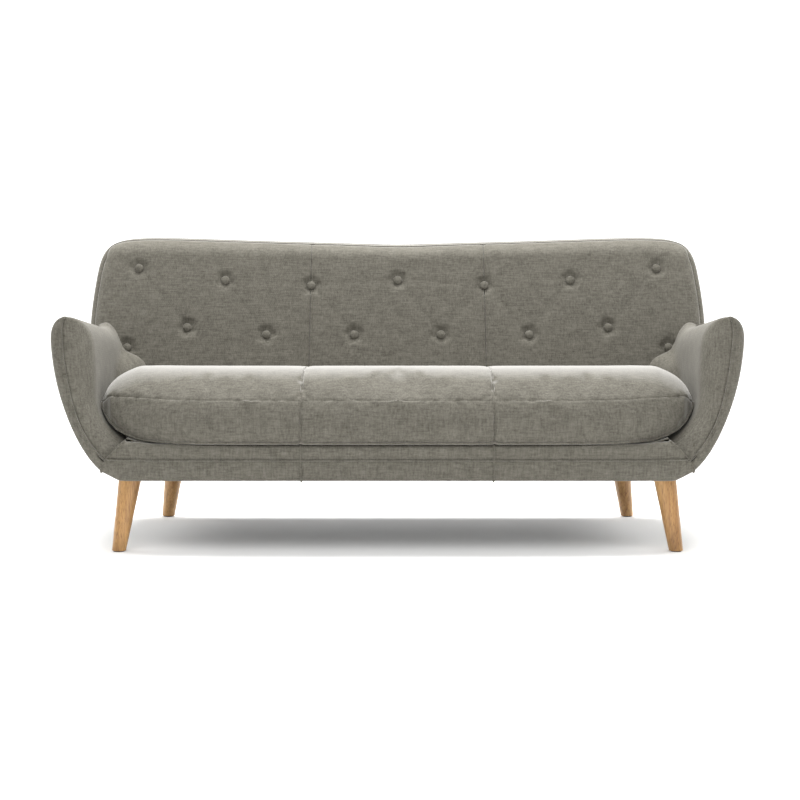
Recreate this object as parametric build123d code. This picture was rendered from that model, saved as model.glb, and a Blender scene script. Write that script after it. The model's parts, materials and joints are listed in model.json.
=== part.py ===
from build123d import *
import os
from math import cos, hypot, radians, sin, tan

# Three-seat sofa: a flared tub of arms and back on an upholstered base, one loose bench
# cushion, a button-tufted inside back and four splayed, turned oak legs.
# Millimetres. +Z is up, the front faces -Y, and the origin is on the floor under the middle.

# ---- overall sizes ----
OVERALL_WIDTH = 1900.0
OVERALL_DEPTH = 800.0
OVERALL_HEIGHT = 856.0
LEG_HEIGHT = 200.0
BASE_HEIGHT = 103.0
ARM_HEIGHT = 652.0
SEAT_HEIGHT = 507.0
SEAT_DEPTH = 473.0
ARM_WIDTH = 120.0
BACK_RAKE = 19.5
REAR_TUCK = 28.0
ARM_DIP = 52.0

# ---- outline shapes ----
# Outside of an arm: distance in from its widest point, share of the arm's rise.
ARM_OUTER_CURVE = ((185.0, 0.0), (139.0, 0.038), (77.0, 0.221), (34.0, 0.4425), (9.0, 0.664), (0.0, 0.836))
# Roll on top of an arm, same measures.
ARM_ROLL_CURVE = ((6.0, 0.94), (38.0, 1.0))
# Inside of an arm, from the roll down: share of the arm's width, share of the rise above the seat side.
ARM_INNER_CURVE = ((0.65, 0.955), (0.8583, 0.79), (0.9, 0.55), (0.9333, 0.30))
# Sections of an arm behind its rounded front edge: distance behind the foot of the back.
ARM_STATIONS = (-313.0, -173.0, -13.0, 187.0)
# End of the seat cushion below its widest point: distance in, height above the deck.
CUSHION_UNDER_CURVE = ((109.0, 6.0), (84.0, 16.0), (29.0, 49.0), (0.0, 102.0))
# End of the seat cushion above its widest point: distance in, share of the crown.
CUSHION_OVER_CURVE = ((12.0, 0.38), (66.0, 0.81), (139.0, 0.985), (430.0, 1.0))
CUSHION_FLAT_INSET = 141.0
# Side of the back above the arms: distance in from its widest point, share of the back's rise.
BACK_SIDE_CURVE = ((0.0, 0.0), (5.0, 0.225), (14.0, 0.525), (26.0, 0.77), (42.0, 0.87), (76.0, 0.947))
# Top line of the back: share of the half width, drop below the highest line.
BACK_TOP_CURVE = ((0.846, 1.0), (0.507, 7.0), (0.2535, 14.0))
BACK_TOP_DIP = 20.0
# Top of the back seen from the side: distance in from the rear, drop below the highest line.
BACK_REAR_ROUND = ((0.0, 86.0), (4.0, 41.0), (25.0, 10.0), (62.0, 0.0))
# Same, from the crest forward: distance behind the raked face, drop below the highest line.
BACK_FRONT_ROUND = ((34.4, 4.0), (13.4, 21.0), (0.0, 56.0))

# ---- upholstery ----
COVER = 2.5
PLY_GAP = 0.3
ARM_FOAM = 25.0
ARM_EDGE_ROUND = 24.0
ARM_FRONT_SETBACK = 20.0
BASE_FRONT_SETBACK = 16.0
BASE_SEAM_HEIGHT = 59.0
BASE_BOTTOM_ROUND = 12.0
BASE_TOP_EASE = 6.0
BASE_RETURN = 30.0
BACK_FOAM_DEPTH = 72.0
BACK_BORDER_DEPTH = 100.0
BACK_SEAM_INSET = 15.0
BACK_SHOULDER_DROP = 40.0
OUTER_SEAM_INSET = 30.0
OUTER_SEAM_DROP = 52.0
DECK_CLOTH = 1.5
DECK_PAD = 11.5
DECK_TUCK = 60.0
DUST_MARGIN = 4.0

# ---- seat cushion ----
CUSHION_GAP = 4.5
CUSHION_REAR_GAP = 3.0
CUSHION_LIFT = 0.5
CUSHION_STATIONS = (0.25, 0.5, 0.75, 1.0)
CUSHION_EDGE_ROUND = 26.0
CROWN_LENGTH = 200.0
FRONT_CROWN = 0.22
CROWN_POWER = 1.6
ZIP_SIDE_GAP = 300.0
ZIP_TAPE = 26.0
ZIP_THICKNESS = 2.2
ZIP_HEIGHT = 82.0
ZIP_RECESS_TOP = 117.0
ZIP_RECESS_EASE = 12.0
SLIDER_SIZE = (10.0, 3.6, 14.0)
SLIDER_START = 20.0
LUG_THICKNESS = 2.2
LUG_REACH = 1.5
TAB_LENGTH = 20.0
TAB_WIDTH = 5.0
TAB_THICKNESS = 1.2
PIN_RADIUS = 0.9
TAB_EYE_WALL = 0.9
TAB_CLEARANCE = 0.7
RUNNING_GAP = 0.3

# ---- frame ----
RAIL_THICKNESS = 22.0
RAIL_LIFT = 6.0
RAIL_DROP = 20.0
RAIL_INSET = 175.0
FRONT_RAIL_SETBACK = 38.0
REAR_RAIL_SETBACK = 47.0
BRACE_SHARE = 0.2747
BRACE_DROP = 17.0
BOARD_INSET = 29.5
BOARD_CLEARANCE = 2.0
ARM_RAIL_SIZE = (36.0, 30.0)
ARM_RAIL_INSET = 55.0
ARM_RAIL_DROP = 92.0
ARM_REAR_BOARD_LEAD = 71.0
BACK_FRAME_DEPTH = 75.0
BACK_BOARD = 22.0
BACK_LOWER_RAIL_LIFT = (30.0, 90.0)
BACK_TOP_RAIL_DROP = (86.0, 36.0)
BACK_TOP_CLEARANCE = 56.0
BACK_FOOT_OUT = 40.0
# Side panel of the back: its knee in and down from the arm's rail, its head in from the widest point,
# and its rear edge in from the rear at two drops below its top.
PANEL_KNEE = (13.0, 20.0)
PANEL_HEAD_INSET = 84.0
PANEL_REAR_EASE = ((16.0, 60.0), (26.0, 0.0))

# ---- suspension ----
SPRING_WIRE = 1.75
SPRING_COUNT = 9
SPRING_SIDE_GAP = 115.0
SPRING_SWING = 25.0
SPRING_BENDS = 26
SPRING_LEAD = 14.0
SPRING_CORNER = 4.0
SPRING_TIGHTNESS = 2.6
TIE_WIRE = 1.5
TIE_WIRE_INSET = (242.0, 243.0)
TIE_WIRE_END = 10.0
CLIP_SIZE = (14.0, 12.0, 6.0)
CLIP_INSET = 5.0
WEB_WIDTH = 50.0
WEB_THICKNESS = 2.0
WEB_END = 5.0
# Middle of each strap, as a share of the half width.
WEB_COLUMNS = (0.0684, 0.2053, 0.3421, 0.4789, 0.6, 0.7368)

# ---- buttons: share of the half width, share of the back's height above the deck ----
UPPER_BUTTONS = ((0.0, 0.7812), (0.2747, 0.7541), (0.5474, 0.7812), (0.8221, 0.8463))
LOWER_BUTTONS = ((0.1368, 0.4901), (0.4147, 0.4901), (0.6642, 0.528), (0.8526, 0.4213))
BUTTON_RADIUS = 14.0
BUTTON_HEIGHT = 8.0
BUTTON_CLEARANCE = 2.0
TUFT_DEPTH = 11.0
TUFT_RADIUS = 38.0
TWINE = 1.2
WASHER_RADIUS = 12.0
WASHER_THICKNESS = 2.0

# ---- legs ----
FOOT_RADIUS = 19.2
LEG_TOP_RADIUS = 32.0
FRONT_FOOT_INSET = (178.5, 68.0)
REAR_FOOT_INSET = (238.5, 61.0)
LEG_SPLAY = (29.5, 29.0)
GLIDE_THICKNESS = 3.0
GLIDE_RADIUS = 15.0
PLATE_SIZE = 56.0
PLATE_THICKNESS = 3.0
BOLT_RADIUS = 4.0
BOLT_REACH = (50.0, 40.0)
NUT_RADIUS = 5.5
NUT_FLANGE = (10.0, 1.5)
NUT_LENGTH = 15.0
BLOCK_SIZE = (75.0, 78.0)
BLOCK_OFFSET = 5.0
SCREW_RADIUS = 2.5
SCREW_HEAD = (4.5, 3.0)
SCREW_LENGTH = 45.0
SCREW_SINK = 40.0
SCREW_OFFSET = (25.0, 20.0)

# ---- worked out from the sizes above ----
HALF = OVERALL_WIDTH / 2
FRONT_Y = -OVERALL_DEPTH / 2
REAR_Y = OVERALL_DEPTH / 2
DECK_Z = LEG_HEIGHT + BASE_HEIGHT
BACK_FOOT_Y = FRONT_Y + SEAT_DEPTH
RAKE = radians(BACK_RAKE)
ARM_FRONT_Y = FRONT_Y + ARM_FRONT_SETBACK
BASE_FRONT_Y = FRONT_Y + BASE_FRONT_SETBACK
CUSHION_HALF = HALF - ARM_WIDTH
SEAT_SIDE_Z = DECK_Z + CUSHION_UNDER_CURVE[-1][1]
SHOULDER_Z = ARM_HEIGHT - BACK_SHOULDER_DROP
RAIL_BOTTOM_Z = LEG_HEIGHT + RAIL_LIFT
RAIL_TOP_Z = DECK_Z - RAIL_DROP
BACK_TOP_RAIL_Z = tuple(OVERALL_HEIGHT - drop for drop in BACK_TOP_RAIL_DROP)
BACK_LOWER_RAIL_Z = tuple(DECK_Z + lift for lift in BACK_LOWER_RAIL_LIFT)
FRONT_RAIL_Y = FRONT_Y + FRONT_RAIL_SETBACK
REAR_RAIL_Y = REAR_Y - REAR_RAIL_SETBACK
BRACE_X = HALF * BRACE_SHARE
BOARD_FRONT_Y = ARM_FRONT_Y + COVER + PLY_GAP + ARM_FOAM + BOARD_CLEARANCE
SPRING_Z = RAIL_TOP_Z + CLIP_SIZE[2] / 2
SPRING_SPREAD = HALF - RAIL_INSET - SPRING_SIDE_GAP
ZIP_HALF = HALF - ZIP_SIDE_GAP
SLIDER_X = SLIDER_START - ZIP_HALF
ZIP_Y = BACK_FOOT_Y - CUSHION_REAR_GAP
ZIP_Z = DECK_Z + ZIP_HEIGHT
BACK_PLANE = Plane(origin=(0, BACK_FOOT_Y, DECK_Z), x_dir=(1, 0, 0), z_dir=(0, -cos(RAKE), sin(RAKE)))
FAR = OVERALL_WIDTH + OVERALL_DEPTH + OVERALL_HEIGHT
SLIDER_FACE_Y = ZIP_Y + ZIP_THICKNESS + RUNNING_GAP + SLIDER_SIZE[1]
PIVOT_Y = SLIDER_FACE_Y + PIN_RADIUS + TAB_EYE_WALL + TAB_CLEARANCE
# How far cutting shapes reach past the surface they cut.
PAST = 50.0


# ---- small helpers ----
def inset_outline(points, inset):
    """Corners of a counter-clockwise outline moved inward, each side by the inset."""
    moved = []
    for i, (x, z) in enumerate(points):
        x_before, z_before = points[i - 1]
        x_after, z_after = points[(i + 1) % len(points)]
        length_in = hypot(x - x_before, z - z_before)
        length_out = hypot(x_after - x, z_after - z)
        n_in = ((z_before - z) / length_in, (x - x_before) / length_in)
        n_out = ((z - z_after) / length_out, (x_after - x) / length_out)
        mitre = inset / (1 + n_in[0] * n_out[0] + n_in[1] * n_out[1])
        moved.append((x + (n_in[0] + n_out[0]) * mitre, z + (n_in[1] + n_out[1]) * mitre))
    return moved


def section_plane(y):
    """Upright plane across the sofa at a distance y, with X to the right and Z up."""
    return Plane(origin=(0, y, 0), x_dir=(1, 0, 0), z_dir=(0, -1, 0))


def curved_face(points, y):
    """Face whose first side is straight and whose other points lie on one smooth curve."""
    outline = Spline(*points[1:]) + Polyline(points[-1], points[0], points[1])
    return section_plane(y) * make_face(outline)


def prism_along_x(points, half):
    """Straight-sided Y-Z outline carried the same way to both sides."""
    return extrude(Plane.YZ * make_face(Polyline(*points, close=True)), amount=half, both=True)


def prism_along_y(points, y_front, y_rear):
    """Straight-sided X-Z outline carried from front to rear."""
    return extrude(section_plane(y_rear) * make_face(Polyline(*points, close=True)), amount=y_rear - y_front)


def prism_up(points, z_low, z_high):
    """Straight-sided plan carried upward."""
    return extrude(Plane.XY.offset(z_low) * make_face(Polyline(*points, close=True)), amount=z_high - z_low)


def block(x_low, x_high, y_low, y_high, z_low, z_high):
    """Plain block between two corners."""
    middle = Pos((x_low + x_high) / 2, (y_low + y_high) / 2, (z_low + z_high) / 2)
    return middle * Box(x_high - x_low, y_high - y_low, z_high - z_low)


def left_of(shape):
    """Mirror image on the other side of the sofa."""
    return mirror(shape, about=Plane.YZ)


def both_sides(shapes):
    """The shapes and their mirror images, in one list."""
    return [*shapes, *(left_of(shape) for shape in shapes)]


def side_shift(y):
    """How far the arms have come in towards the middle at y."""
    return -REAR_TUCK * (y - ARM_FRONT_Y) / OVERALL_DEPTH


def back_face_y(z, depth=0.0):
    """Y of the raked plane that lies the given depth behind the inside back."""
    return BACK_FOOT_Y + (z - DECK_Z) * tan(RAKE) + depth / cos(RAKE)


def raked_slab(depth_low, depth_high):
    """Everything between two planes parallel to the inside back."""
    thickness = depth_high - depth_low
    return BACK_PLANE * Pos(0, 0, -(depth_low + depth_high) / 2) * Box(FAR, FAR, thickness)


def raked_box(x_low, x_high, z_low, z_high, depth_low, depth_high):
    """Board parallel to the inside back, between two heights measured on its face."""
    up_low = (z_low - DECK_Z) / cos(RAKE)
    up_high = (z_high - DECK_Z) / cos(RAKE)
    middle = Pos((x_low + x_high) / 2, (up_low + up_high) / 2, -(depth_low + depth_high) / 2)
    return BACK_PLANE * middle * Box(x_high - x_low, up_high - up_low, depth_high - depth_low)


def frame_bay():
    """Space under the seat that belongs to the rails, springs and deck."""
    front, rear = FRONT_RAIL_Y, REAR_RAIL_Y
    x_front = HALF - RAIL_INSET + side_shift(front)
    x_rear = HALF - RAIL_INSET + side_shift(rear)
    plan = [(-x_front, front), (x_front, front), (x_rear, rear), (-x_rear, rear)]
    return prism_up(plan, LEG_HEIGHT - PAST, DECK_Z)


# ---- whole shapes that the covers and foams are peeled from ----
def arm_outline(y):
    """Right arm cut across at y: bottom edge first, then up the outside and down the inside."""
    rise = ARM_HEIGHT - LEG_HEIGHT
    inner_rise = ARM_HEIGHT - SEAT_SIDE_Z
    inner_side = CUSHION_HALF + CUSHION_GAP
    points = [(inner_side - CUSHION_UNDER_CURVE[0][0], LEG_HEIGHT)]
    points += [(HALF - d, LEG_HEIGHT + share * rise) for d, share in ARM_OUTER_CURVE + ARM_ROLL_CURVE]
    points += [(HALF - part * ARM_WIDTH, SEAT_SIDE_Z + share * inner_rise) for part, share in ARM_INNER_CURVE]
    points += [(inner_side - d, DECK_Z + up - CUSHION_GAP) for d, up in reversed(CUSHION_UNDER_CURVE)]
    run = max(0.0, y - ARM_FRONT_Y) / (BACK_FOOT_Y - ARM_FRONT_Y)
    dip = ARM_DIP * run / inner_rise
    return [(x + side_shift(y), z - dip * max(0.0, z - SEAT_SIDE_Z)) for x, z in points]


def rounded_front(y_front, inset, radius):
    """Places and insets of the sections that round a front edge, inset all over."""
    left = max(radius - inset, 0.0)
    turns = (90, 60, 30, 0) if left > 1 else (0,)
    return [(y_front + inset + left * (1 - sin(radians(a))), inset + left * (1 - cos(radians(a)))) for a in turns]


def arm_shape(inset):
    """Right arm as one closed shape, inset all over, cut off along the inside back."""
    stations = rounded_front(ARM_FRONT_Y, inset, ARM_EDGE_ROUND)
    stations += [(BACK_FOOT_Y + run, inset) for run in ARM_STATIONS]
    faces = [curved_face(inset_outline(arm_outline(y), amount), y) for y, amount in stations]
    return loft(faces, ruled=True) - raked_slab(-PLY_GAP, FAR / 2)


def base_shape(inset):
    """Upholstered front of the base between the arms, inset all over."""
    front, low = BASE_FRONT_Y, LEG_HEIGHT
    turn, back = BASE_BOTTOM_ROUND, FRONT_RAIL_Y + BASE_RETURN
    outline = [(front, DECK_Z - BASE_TOP_EASE), (front, low + turn), (front + turn / 3, low + turn / 3)]
    outline += [(front + turn, low), (back, low), (back, DECK_Z), (front + BASE_TOP_EASE, DECK_Z)]
    half = CUSHION_HALF + CUSHION_GAP - CUSHION_UNDER_CURVE[0][0] + side_shift(FRONT_RAIL_Y) - PLY_GAP
    return prism_along_x(inset_outline(outline, inset), half - inset)


def back_outline(inset):
    """Back seen from the front: bottom edge first, then up one side, over the top and down."""
    rise = ARM_HEIGHT - LEG_HEIGHT
    half = HALF + side_shift(BACK_FOOT_Y)
    side = [(half - d, LEG_HEIGHT + share * rise) for d, share in ARM_OUTER_CURVE]
    side += [(half - d, SHOULDER_Z + share * (OVERALL_HEIGHT - SHOULDER_Z)) for d, share in BACK_SIDE_CURVE]
    side += [(half * share, OVERALL_HEIGHT - drop) for share, drop in BACK_TOP_CURVE]
    points = side + [(0.0, OVERALL_HEIGHT - BACK_TOP_DIP)] + [(-x, z) for x, z in reversed(side)]
    return inset_outline(points, inset)


def back_profile(inset):
    """Back seen from the side: raked front, rounded top, nearly upright rear."""
    top, low = OVERALL_HEIGHT, LEG_HEIGHT
    points = [(back_face_y(low), low), (REAR_Y - BACK_FOOT_OUT, low)]
    points += [(REAR_Y - d, top - drop) for d, drop in BACK_REAR_ROUND]
    points += [(back_face_y(top - drop) + d, top - drop) for d, drop in BACK_FRONT_ROUND]
    return inset_outline(points, inset)


def button_places():
    """X and height on the face of every tuft."""
    rise = OVERALL_HEIGHT - DECK_Z
    places = [(part * HALF, DECK_Z + share * rise) for part, share in UPPER_BUTTONS + LOWER_BUTTONS]
    return places + [(-x, z) for x, z in places if x > 0]


def on_face(x, z, depth):
    """Location on the inside back, at a depth behind its face."""
    return BACK_PLANE * Pos(x, (z - DECK_Z) / cos(RAKE), -depth)


def tufts(inset):
    """Round hollows that the buttons pull into the inside back, grown by the inset."""
    floor = BUTTON_RADIUS + BUTTON_CLEARANCE + inset
    depth = TUFT_DEPTH + inset
    slope = (TUFT_RADIUS + inset - floor) / depth
    height = depth + BUTTON_CLEARANCE + inset
    hollow = Cone(floor, floor + slope * height, height)
    return [on_face(x, z, depth - height / 2) * hollow for x, z in button_places()]


def back_shape(inset):
    """Back as one closed shape with its tufts, inset all over."""
    outline = back_outline(inset)
    across = Spline(*outline) + Line(outline[-1], outline[0])
    front_view = extrude(section_plane(REAR_Y + PAST) * make_face(across), amount=OVERALL_DEPTH)
    return (front_view & prism_along_x(back_profile(inset), HALF)) - tufts(inset)


def cushion_outline(y):
    """Seat cushion cut across at y: flat bottom first, then up one end and over the crown."""
    share = crown_share(y)
    crown = SEAT_HEIGHT - SEAT_SIDE_Z
    low = DECK_Z + CUSHION_LIFT
    side = [(CUSHION_HALF - CUSHION_FLAT_INSET, low)]
    side += [(CUSHION_HALF - d, low + up) for d, up in CUSHION_UNDER_CURVE]
    side += [(CUSHION_HALF - d, SEAT_SIDE_Z + part * crown * share) for d, part in CUSHION_OVER_CURVE]
    side = [(x + side_shift(y), z) for x, z in side]
    return side + [(0.0, SEAT_SIDE_Z + crown * share)] + [(-x, z) for x, z in reversed(side)]


def crown_share(y):
    """How much of its full crown the seat cushion has at y."""
    run = min(1.0, (y - FRONT_Y) / CROWN_LENGTH)
    return 1 - (1 - FRONT_CROWN) * (1 - run) ** CROWN_POWER


def drawn_in(points, amount):
    """Outline shrunk towards its own middle until each side has moved by about the amount."""
    high, low = max(z for _, z in points), min(z for _, z in points)
    wide = max(x for x, _ in points)
    middle = (high + low) / 2
    return [(x * (1 - amount / wide), middle + (z - middle) * (1 - 2 * amount / (high - low))) for x, z in points]


def cushion_shape(inset):
    """Seat cushion as one closed shape, inset all over, with the hollow behind it for the zip."""
    stations = rounded_front(FRONT_Y, inset, CUSHION_EDGE_ROUND)
    stations += [(FRONT_Y + run * CROWN_LENGTH, inset) for run in CUSHION_STATIONS]
    stations += [(back_face_y(SEAT_HEIGHT), inset)]
    faces = []
    for y, amount in stations:
        outline = drawn_in(inset_outline(cushion_outline(y), inset), amount - inset)
        across = Spline(*outline) + Line(outline[-1], outline[0])
        faces.append(section_plane(y) * make_face(across))
    recess_top = DECK_Z + ZIP_RECESS_TOP
    high, low = SEAT_HEIGHT + PAST, DECK_Z - PAST
    keep = [(FRONT_Y - PAST, low), (ZIP_Y, low), (ZIP_Y, recess_top)]
    keep += [(back_face_y(z) - CUSHION_REAR_GAP, z) for z in (recess_top + ZIP_RECESS_EASE, high)]
    keep += [(FRONT_Y - PAST, high)]
    return loft(faces, ruled=True) & prism_along_x(inset_outline(keep, inset), HALF)


# ---- wooden frame ----
def rail_edge(y, inward=0.0):
    """X of a side rail's outer face at y, or of a line parallel to it further in."""
    return HALF - RAIL_INSET - inward + side_shift(y)


def side_rail():
    """Right side rail of the base."""
    front, rear = FRONT_RAIL_Y, REAR_RAIL_Y
    plan = [(rail_edge(front, RAIL_THICKNESS), front), (rail_edge(front), front)]
    plan += [(rail_edge(rear), rear), (rail_edge(rear, RAIL_THICKNESS), rear)]
    return prism_up(plan, RAIL_BOTTOM_Z, RAIL_TOP_Z)


def cross_rail(y_low):
    """Front or rear rail, between the side rails."""
    y_high = y_low + RAIL_THICKNESS
    x_low, x_high = rail_edge(y_low, RAIL_THICKNESS), rail_edge(y_high, RAIL_THICKNESS)
    plan = [(-x_low, y_low), (x_low, y_low), (x_high, y_high), (-x_high, y_high)]
    return prism_up(plan, RAIL_BOTTOM_Z, RAIL_TOP_Z)


def seat_brace():
    """Right stretcher from the front rail to the rear rail."""
    x_low, x_high = BRACE_X - RAIL_THICKNESS / 2, BRACE_X + RAIL_THICKNESS / 2
    y_low, y_high = FRONT_RAIL_Y + RAIL_THICKNESS, REAR_RAIL_Y - RAIL_THICKNESS
    return block(x_low, x_high, y_low, y_high, RAIL_BOTTOM_Z, RAIL_TOP_Z - BRACE_DROP)


def corner_block(front):
    """Right front or right rear block that a leg bolts into."""
    y_low = FRONT_RAIL_Y + RAIL_THICKNESS if front else REAR_RAIL_Y - RAIL_THICKNESS - BLOCK_SIZE[1]
    y_high = y_low + BLOCK_SIZE[1]
    x_leg = leg_axis(front, LEG_HEIGHT)[0]
    x_low = x_leg - BLOCK_SIZE[0] / 2 - BLOCK_OFFSET
    plan = [(x_low, y_low), (rail_edge(y_low, RAIL_THICKNESS), y_low)]
    plan += [(rail_edge(y_high, RAIL_THICKNESS), y_high), (x_low, y_high)]
    return prism_up(plan, LEG_HEIGHT + PLATE_THICKNESS, RAIL_TOP_Z)


def arm_board(y_front):
    """Shaped upright board inside the right arm."""
    outline = inset_outline(arm_outline(y_front + RAIL_THICKNESS), BOARD_INSET)
    flat = curved_face(outline, y_front + RAIL_THICKNESS)
    return extrude(flat, amount=RAIL_THICKNESS) - frame_bay()


def arm_rail():
    """Rail along the top of the right arm, from its front board to the back's side panel."""
    faces = []
    for y in (BOARD_FRONT_Y + RAIL_THICKNESS, REAR_Y):
        dip = ARM_DIP * (y - ARM_FRONT_Y) / (BACK_FOOT_Y - ARM_FRONT_Y)
        height = ARM_HEIGHT - ARM_RAIL_DROP
        share = (height - SEAT_SIDE_Z) / (ARM_HEIGHT - SEAT_SIDE_Z)
        centre = Pos(HALF - ARM_RAIL_INSET + side_shift(y), height - dip * share)
        faces.append(section_plane(y) * centre * Rectangle(*ARM_RAIL_SIZE))
    return loft(faces, ruled=True) - raked_slab(BACK_FRAME_DEPTH, FAR / 2)


def panel_line(inward=0.0):
    """Line of the back's right side panel, seen from the front."""
    foot = rail_edge((BACK_FOOT_Y + REAR_Y) / 2)
    knee = (HALF - ARM_RAIL_INSET - PANEL_KNEE[0], ARM_HEIGHT - ARM_RAIL_DROP - PANEL_KNEE[1])
    head = (HALF - PANEL_HEAD_INSET, OVERALL_HEIGHT - BACK_TOP_CLEARANCE)
    return [(x - inward, z) for x, z in ((foot, RAIL_TOP_Z), knee, head)]


def back_side_panel():
    """Right side panel of the back, standing on the side rail."""
    outer, inner = panel_line(), panel_line(BACK_BOARD)
    cut = prism_along_y(outer + inner[::-1], BACK_FOOT_Y, REAR_Y + PAST)
    top = OVERALL_HEIGHT - BACK_TOP_CLEARANCE
    wedge = [(back_face_y(RAIL_TOP_Z, BACK_FRAME_DEPTH), RAIL_TOP_Z), (REAR_RAIL_Y, RAIL_TOP_Z)]
    wedge += [(REAR_Y - d, top - drop) for d, drop in PANEL_REAR_EASE]
    wedge += [(back_face_y(top, BACK_FRAME_DEPTH), top)]
    return cut & prism_along_x(wedge, HALF)


def back_rail(z_low, z_high):
    """Rail between the back's side panels."""
    inner = panel_line(BACK_BOARD)
    bay = prism_along_y(inner + [(-x, z) for x, z in reversed(inner)], BACK_FOOT_Y, REAR_Y + PAST)
    return raked_box(-HALF, HALF, z_low, z_high, BACK_FRAME_DEPTH, BACK_FRAME_DEPTH + BACK_BOARD) & bay


def back_upright():
    """Right inner upright, between the back's two rails."""
    x_low, x_high = BRACE_X - RAIL_THICKNESS, BRACE_X + RAIL_THICKNESS
    depth = (BACK_FRAME_DEPTH, BACK_FRAME_DEPTH + BACK_BOARD)
    return raked_box(x_low, x_high, BACK_LOWER_RAIL_Z[1], BACK_TOP_RAIL_Z[0], *depth)


def corner_screws(front):
    """Two screws that pull a right corner block against its cross rail."""
    y_face = FRONT_RAIL_Y + RAIL_THICKNESS if front else REAR_RAIL_Y - RAIL_THICKNESS
    turn = 90 if front else -90
    y_head = y_face + (BLOCK_SIZE[1] - SCREW_SINK) * (1 if front else -1)
    aside, up = SCREW_OFFSET
    x = leg_axis(front, LEG_HEIGHT)[0] - aside
    screws = []
    for z in (RAIL_TOP_Z - up, RAIL_BOTTOM_Z + up):
        shank = Pos(0, 0, SCREW_LENGTH / 2) * Cylinder(SCREW_RADIUS, SCREW_LENGTH)
        head = Pos(0, 0, -SCREW_HEAD[1] / 2) * Cylinder(*SCREW_HEAD)
        screws.append(Pos(x, y_head, z) * Rot(turn, 0, 0) * (shank + head))
    return screws


# ---- legs ----
def leg_axis(front, z):
    """Centre of a right leg at height z."""
    inset_x, inset_y = FRONT_FOOT_INSET if front else REAR_FOOT_INSET
    up = z / LEG_HEIGHT
    x = HALF - inset_x - LEG_SPLAY[0] * up
    if front:
        return x, FRONT_Y + inset_y + LEG_SPLAY[1] * up
    return x, REAR_Y - inset_y - LEG_SPLAY[1] * up


def leg(front):
    """Turned, tapered and splayed right leg, bored for its bolt."""
    faces = []
    for z in (GLIDE_THICKNESS, LEG_HEIGHT):
        radius = FOOT_RADIUS + (LEG_TOP_RADIUS - FOOT_RADIUS) * z / LEG_HEIGHT
        faces.append(Plane.XY.offset(z) * Pos(*leg_axis(front, z)) * Circle(radius))
    return loft(faces, ruled=True) - leg_bolt(front)


def leg_glide(front):
    """Felt pad under a right leg."""
    x, y = leg_axis(front, 0)
    return Pos(x, y, GLIDE_THICKNESS / 2) * Cylinder(GLIDE_RADIUS, GLIDE_THICKNESS)


def leg_bolt(front):
    """Hanger bolt from a right leg up into its corner block."""
    x, y = leg_axis(front, LEG_HEIGHT)
    down, up = BOLT_REACH
    return Pos(x, y, LEG_HEIGHT + (up - down) / 2) * Cylinder(BOLT_RADIUS, up + down)


def leg_nut(front):
    """Flanged nut sunk into a right corner block."""
    x, y = leg_axis(front, LEG_HEIGHT)
    z = LEG_HEIGHT + PLATE_THICKNESS
    barrel = Pos(x, y, z + NUT_LENGTH / 2) * Cylinder(NUT_RADIUS, NUT_LENGTH)
    flange = Pos(x, y, z + NUT_FLANGE[1] / 2) * Cylinder(*NUT_FLANGE)
    return barrel + flange - leg_bolt(front)


def leg_plate(front):
    """Steel plate between a right leg and the base."""
    x, y = leg_axis(front, LEG_HEIGHT)
    half = PLATE_SIZE / 2
    plate = block(x - half, x + half, y - half, y + half, LEG_HEIGHT, LEG_HEIGHT + PLATE_THICKNESS)
    return plate - leg_bolt(front)


# ---- suspension ----
def seat_spring(x):
    """One zigzag spring across the seat, straight where the clips hold it."""
    y_front = FRONT_RAIL_Y + CLIP_INSET
    y_rear = REAR_RAIL_Y - CLIP_INSET
    lead = CLIP_SIZE[1] + SPRING_LEAD
    pitch = (y_rear - y_front - 2 * lead) / SPRING_BENDS
    points = [(0, y_front), (0, y_front + lead)]
    points += [(SPRING_SWING * (-1) ** i, y_front + lead + pitch * (i + 0.5)) for i in range(SPRING_BENDS)]
    points += [(0, y_rear - lead), (0, y_rear)]
    corners = [SPRING_CORNER] + [pitch / SPRING_TIGHTNESS] * SPRING_BENDS + [SPRING_CORNER]
    path = Pos(x, 0, SPRING_Z) * FilletPolyline(*points, radius=corners)
    return sweep(Plane(origin=path @ 0, z_dir=path % 0) * Circle(SPRING_WIRE), path=path)


def spring_places():
    """X of every seat spring."""
    step = 2 * SPRING_SPREAD / (SPRING_COUNT - 1)
    return [-SPRING_SPREAD + i * step for i in range(SPRING_COUNT)]


def spring_clip(x, y):
    """Clip on a rail that holds one end of a spring."""
    bore = Rot(90, 0, 0) * Cylinder(SPRING_WIRE, CLIP_SIZE[1] * 2)
    return Pos(x, y, SPRING_Z) * (Box(*CLIP_SIZE) - bore)


def spring_clips():
    """Clips at both ends of every spring."""
    inset = CLIP_INSET + CLIP_SIZE[1] / 2
    places = (FRONT_RAIL_Y + inset, REAR_RAIL_Y - inset)
    return [spring_clip(x, y) for x in spring_places() for y in places]


def tie_wires():
    """Two wires across the seat, under the springs."""
    z = SPRING_Z - SPRING_WIRE - RUNNING_GAP - TIE_WIRE
    length = 2 * (SPRING_SPREAD + SPRING_SWING + TIE_WIRE_END)
    places = (FRONT_RAIL_Y + TIE_WIRE_INSET[0], REAR_RAIL_Y - TIE_WIRE_INSET[1])
    return [Pos(0, y, z) * Rot(0, 90, 0) * Cylinder(TIE_WIRE, length) for y in places]


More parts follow.
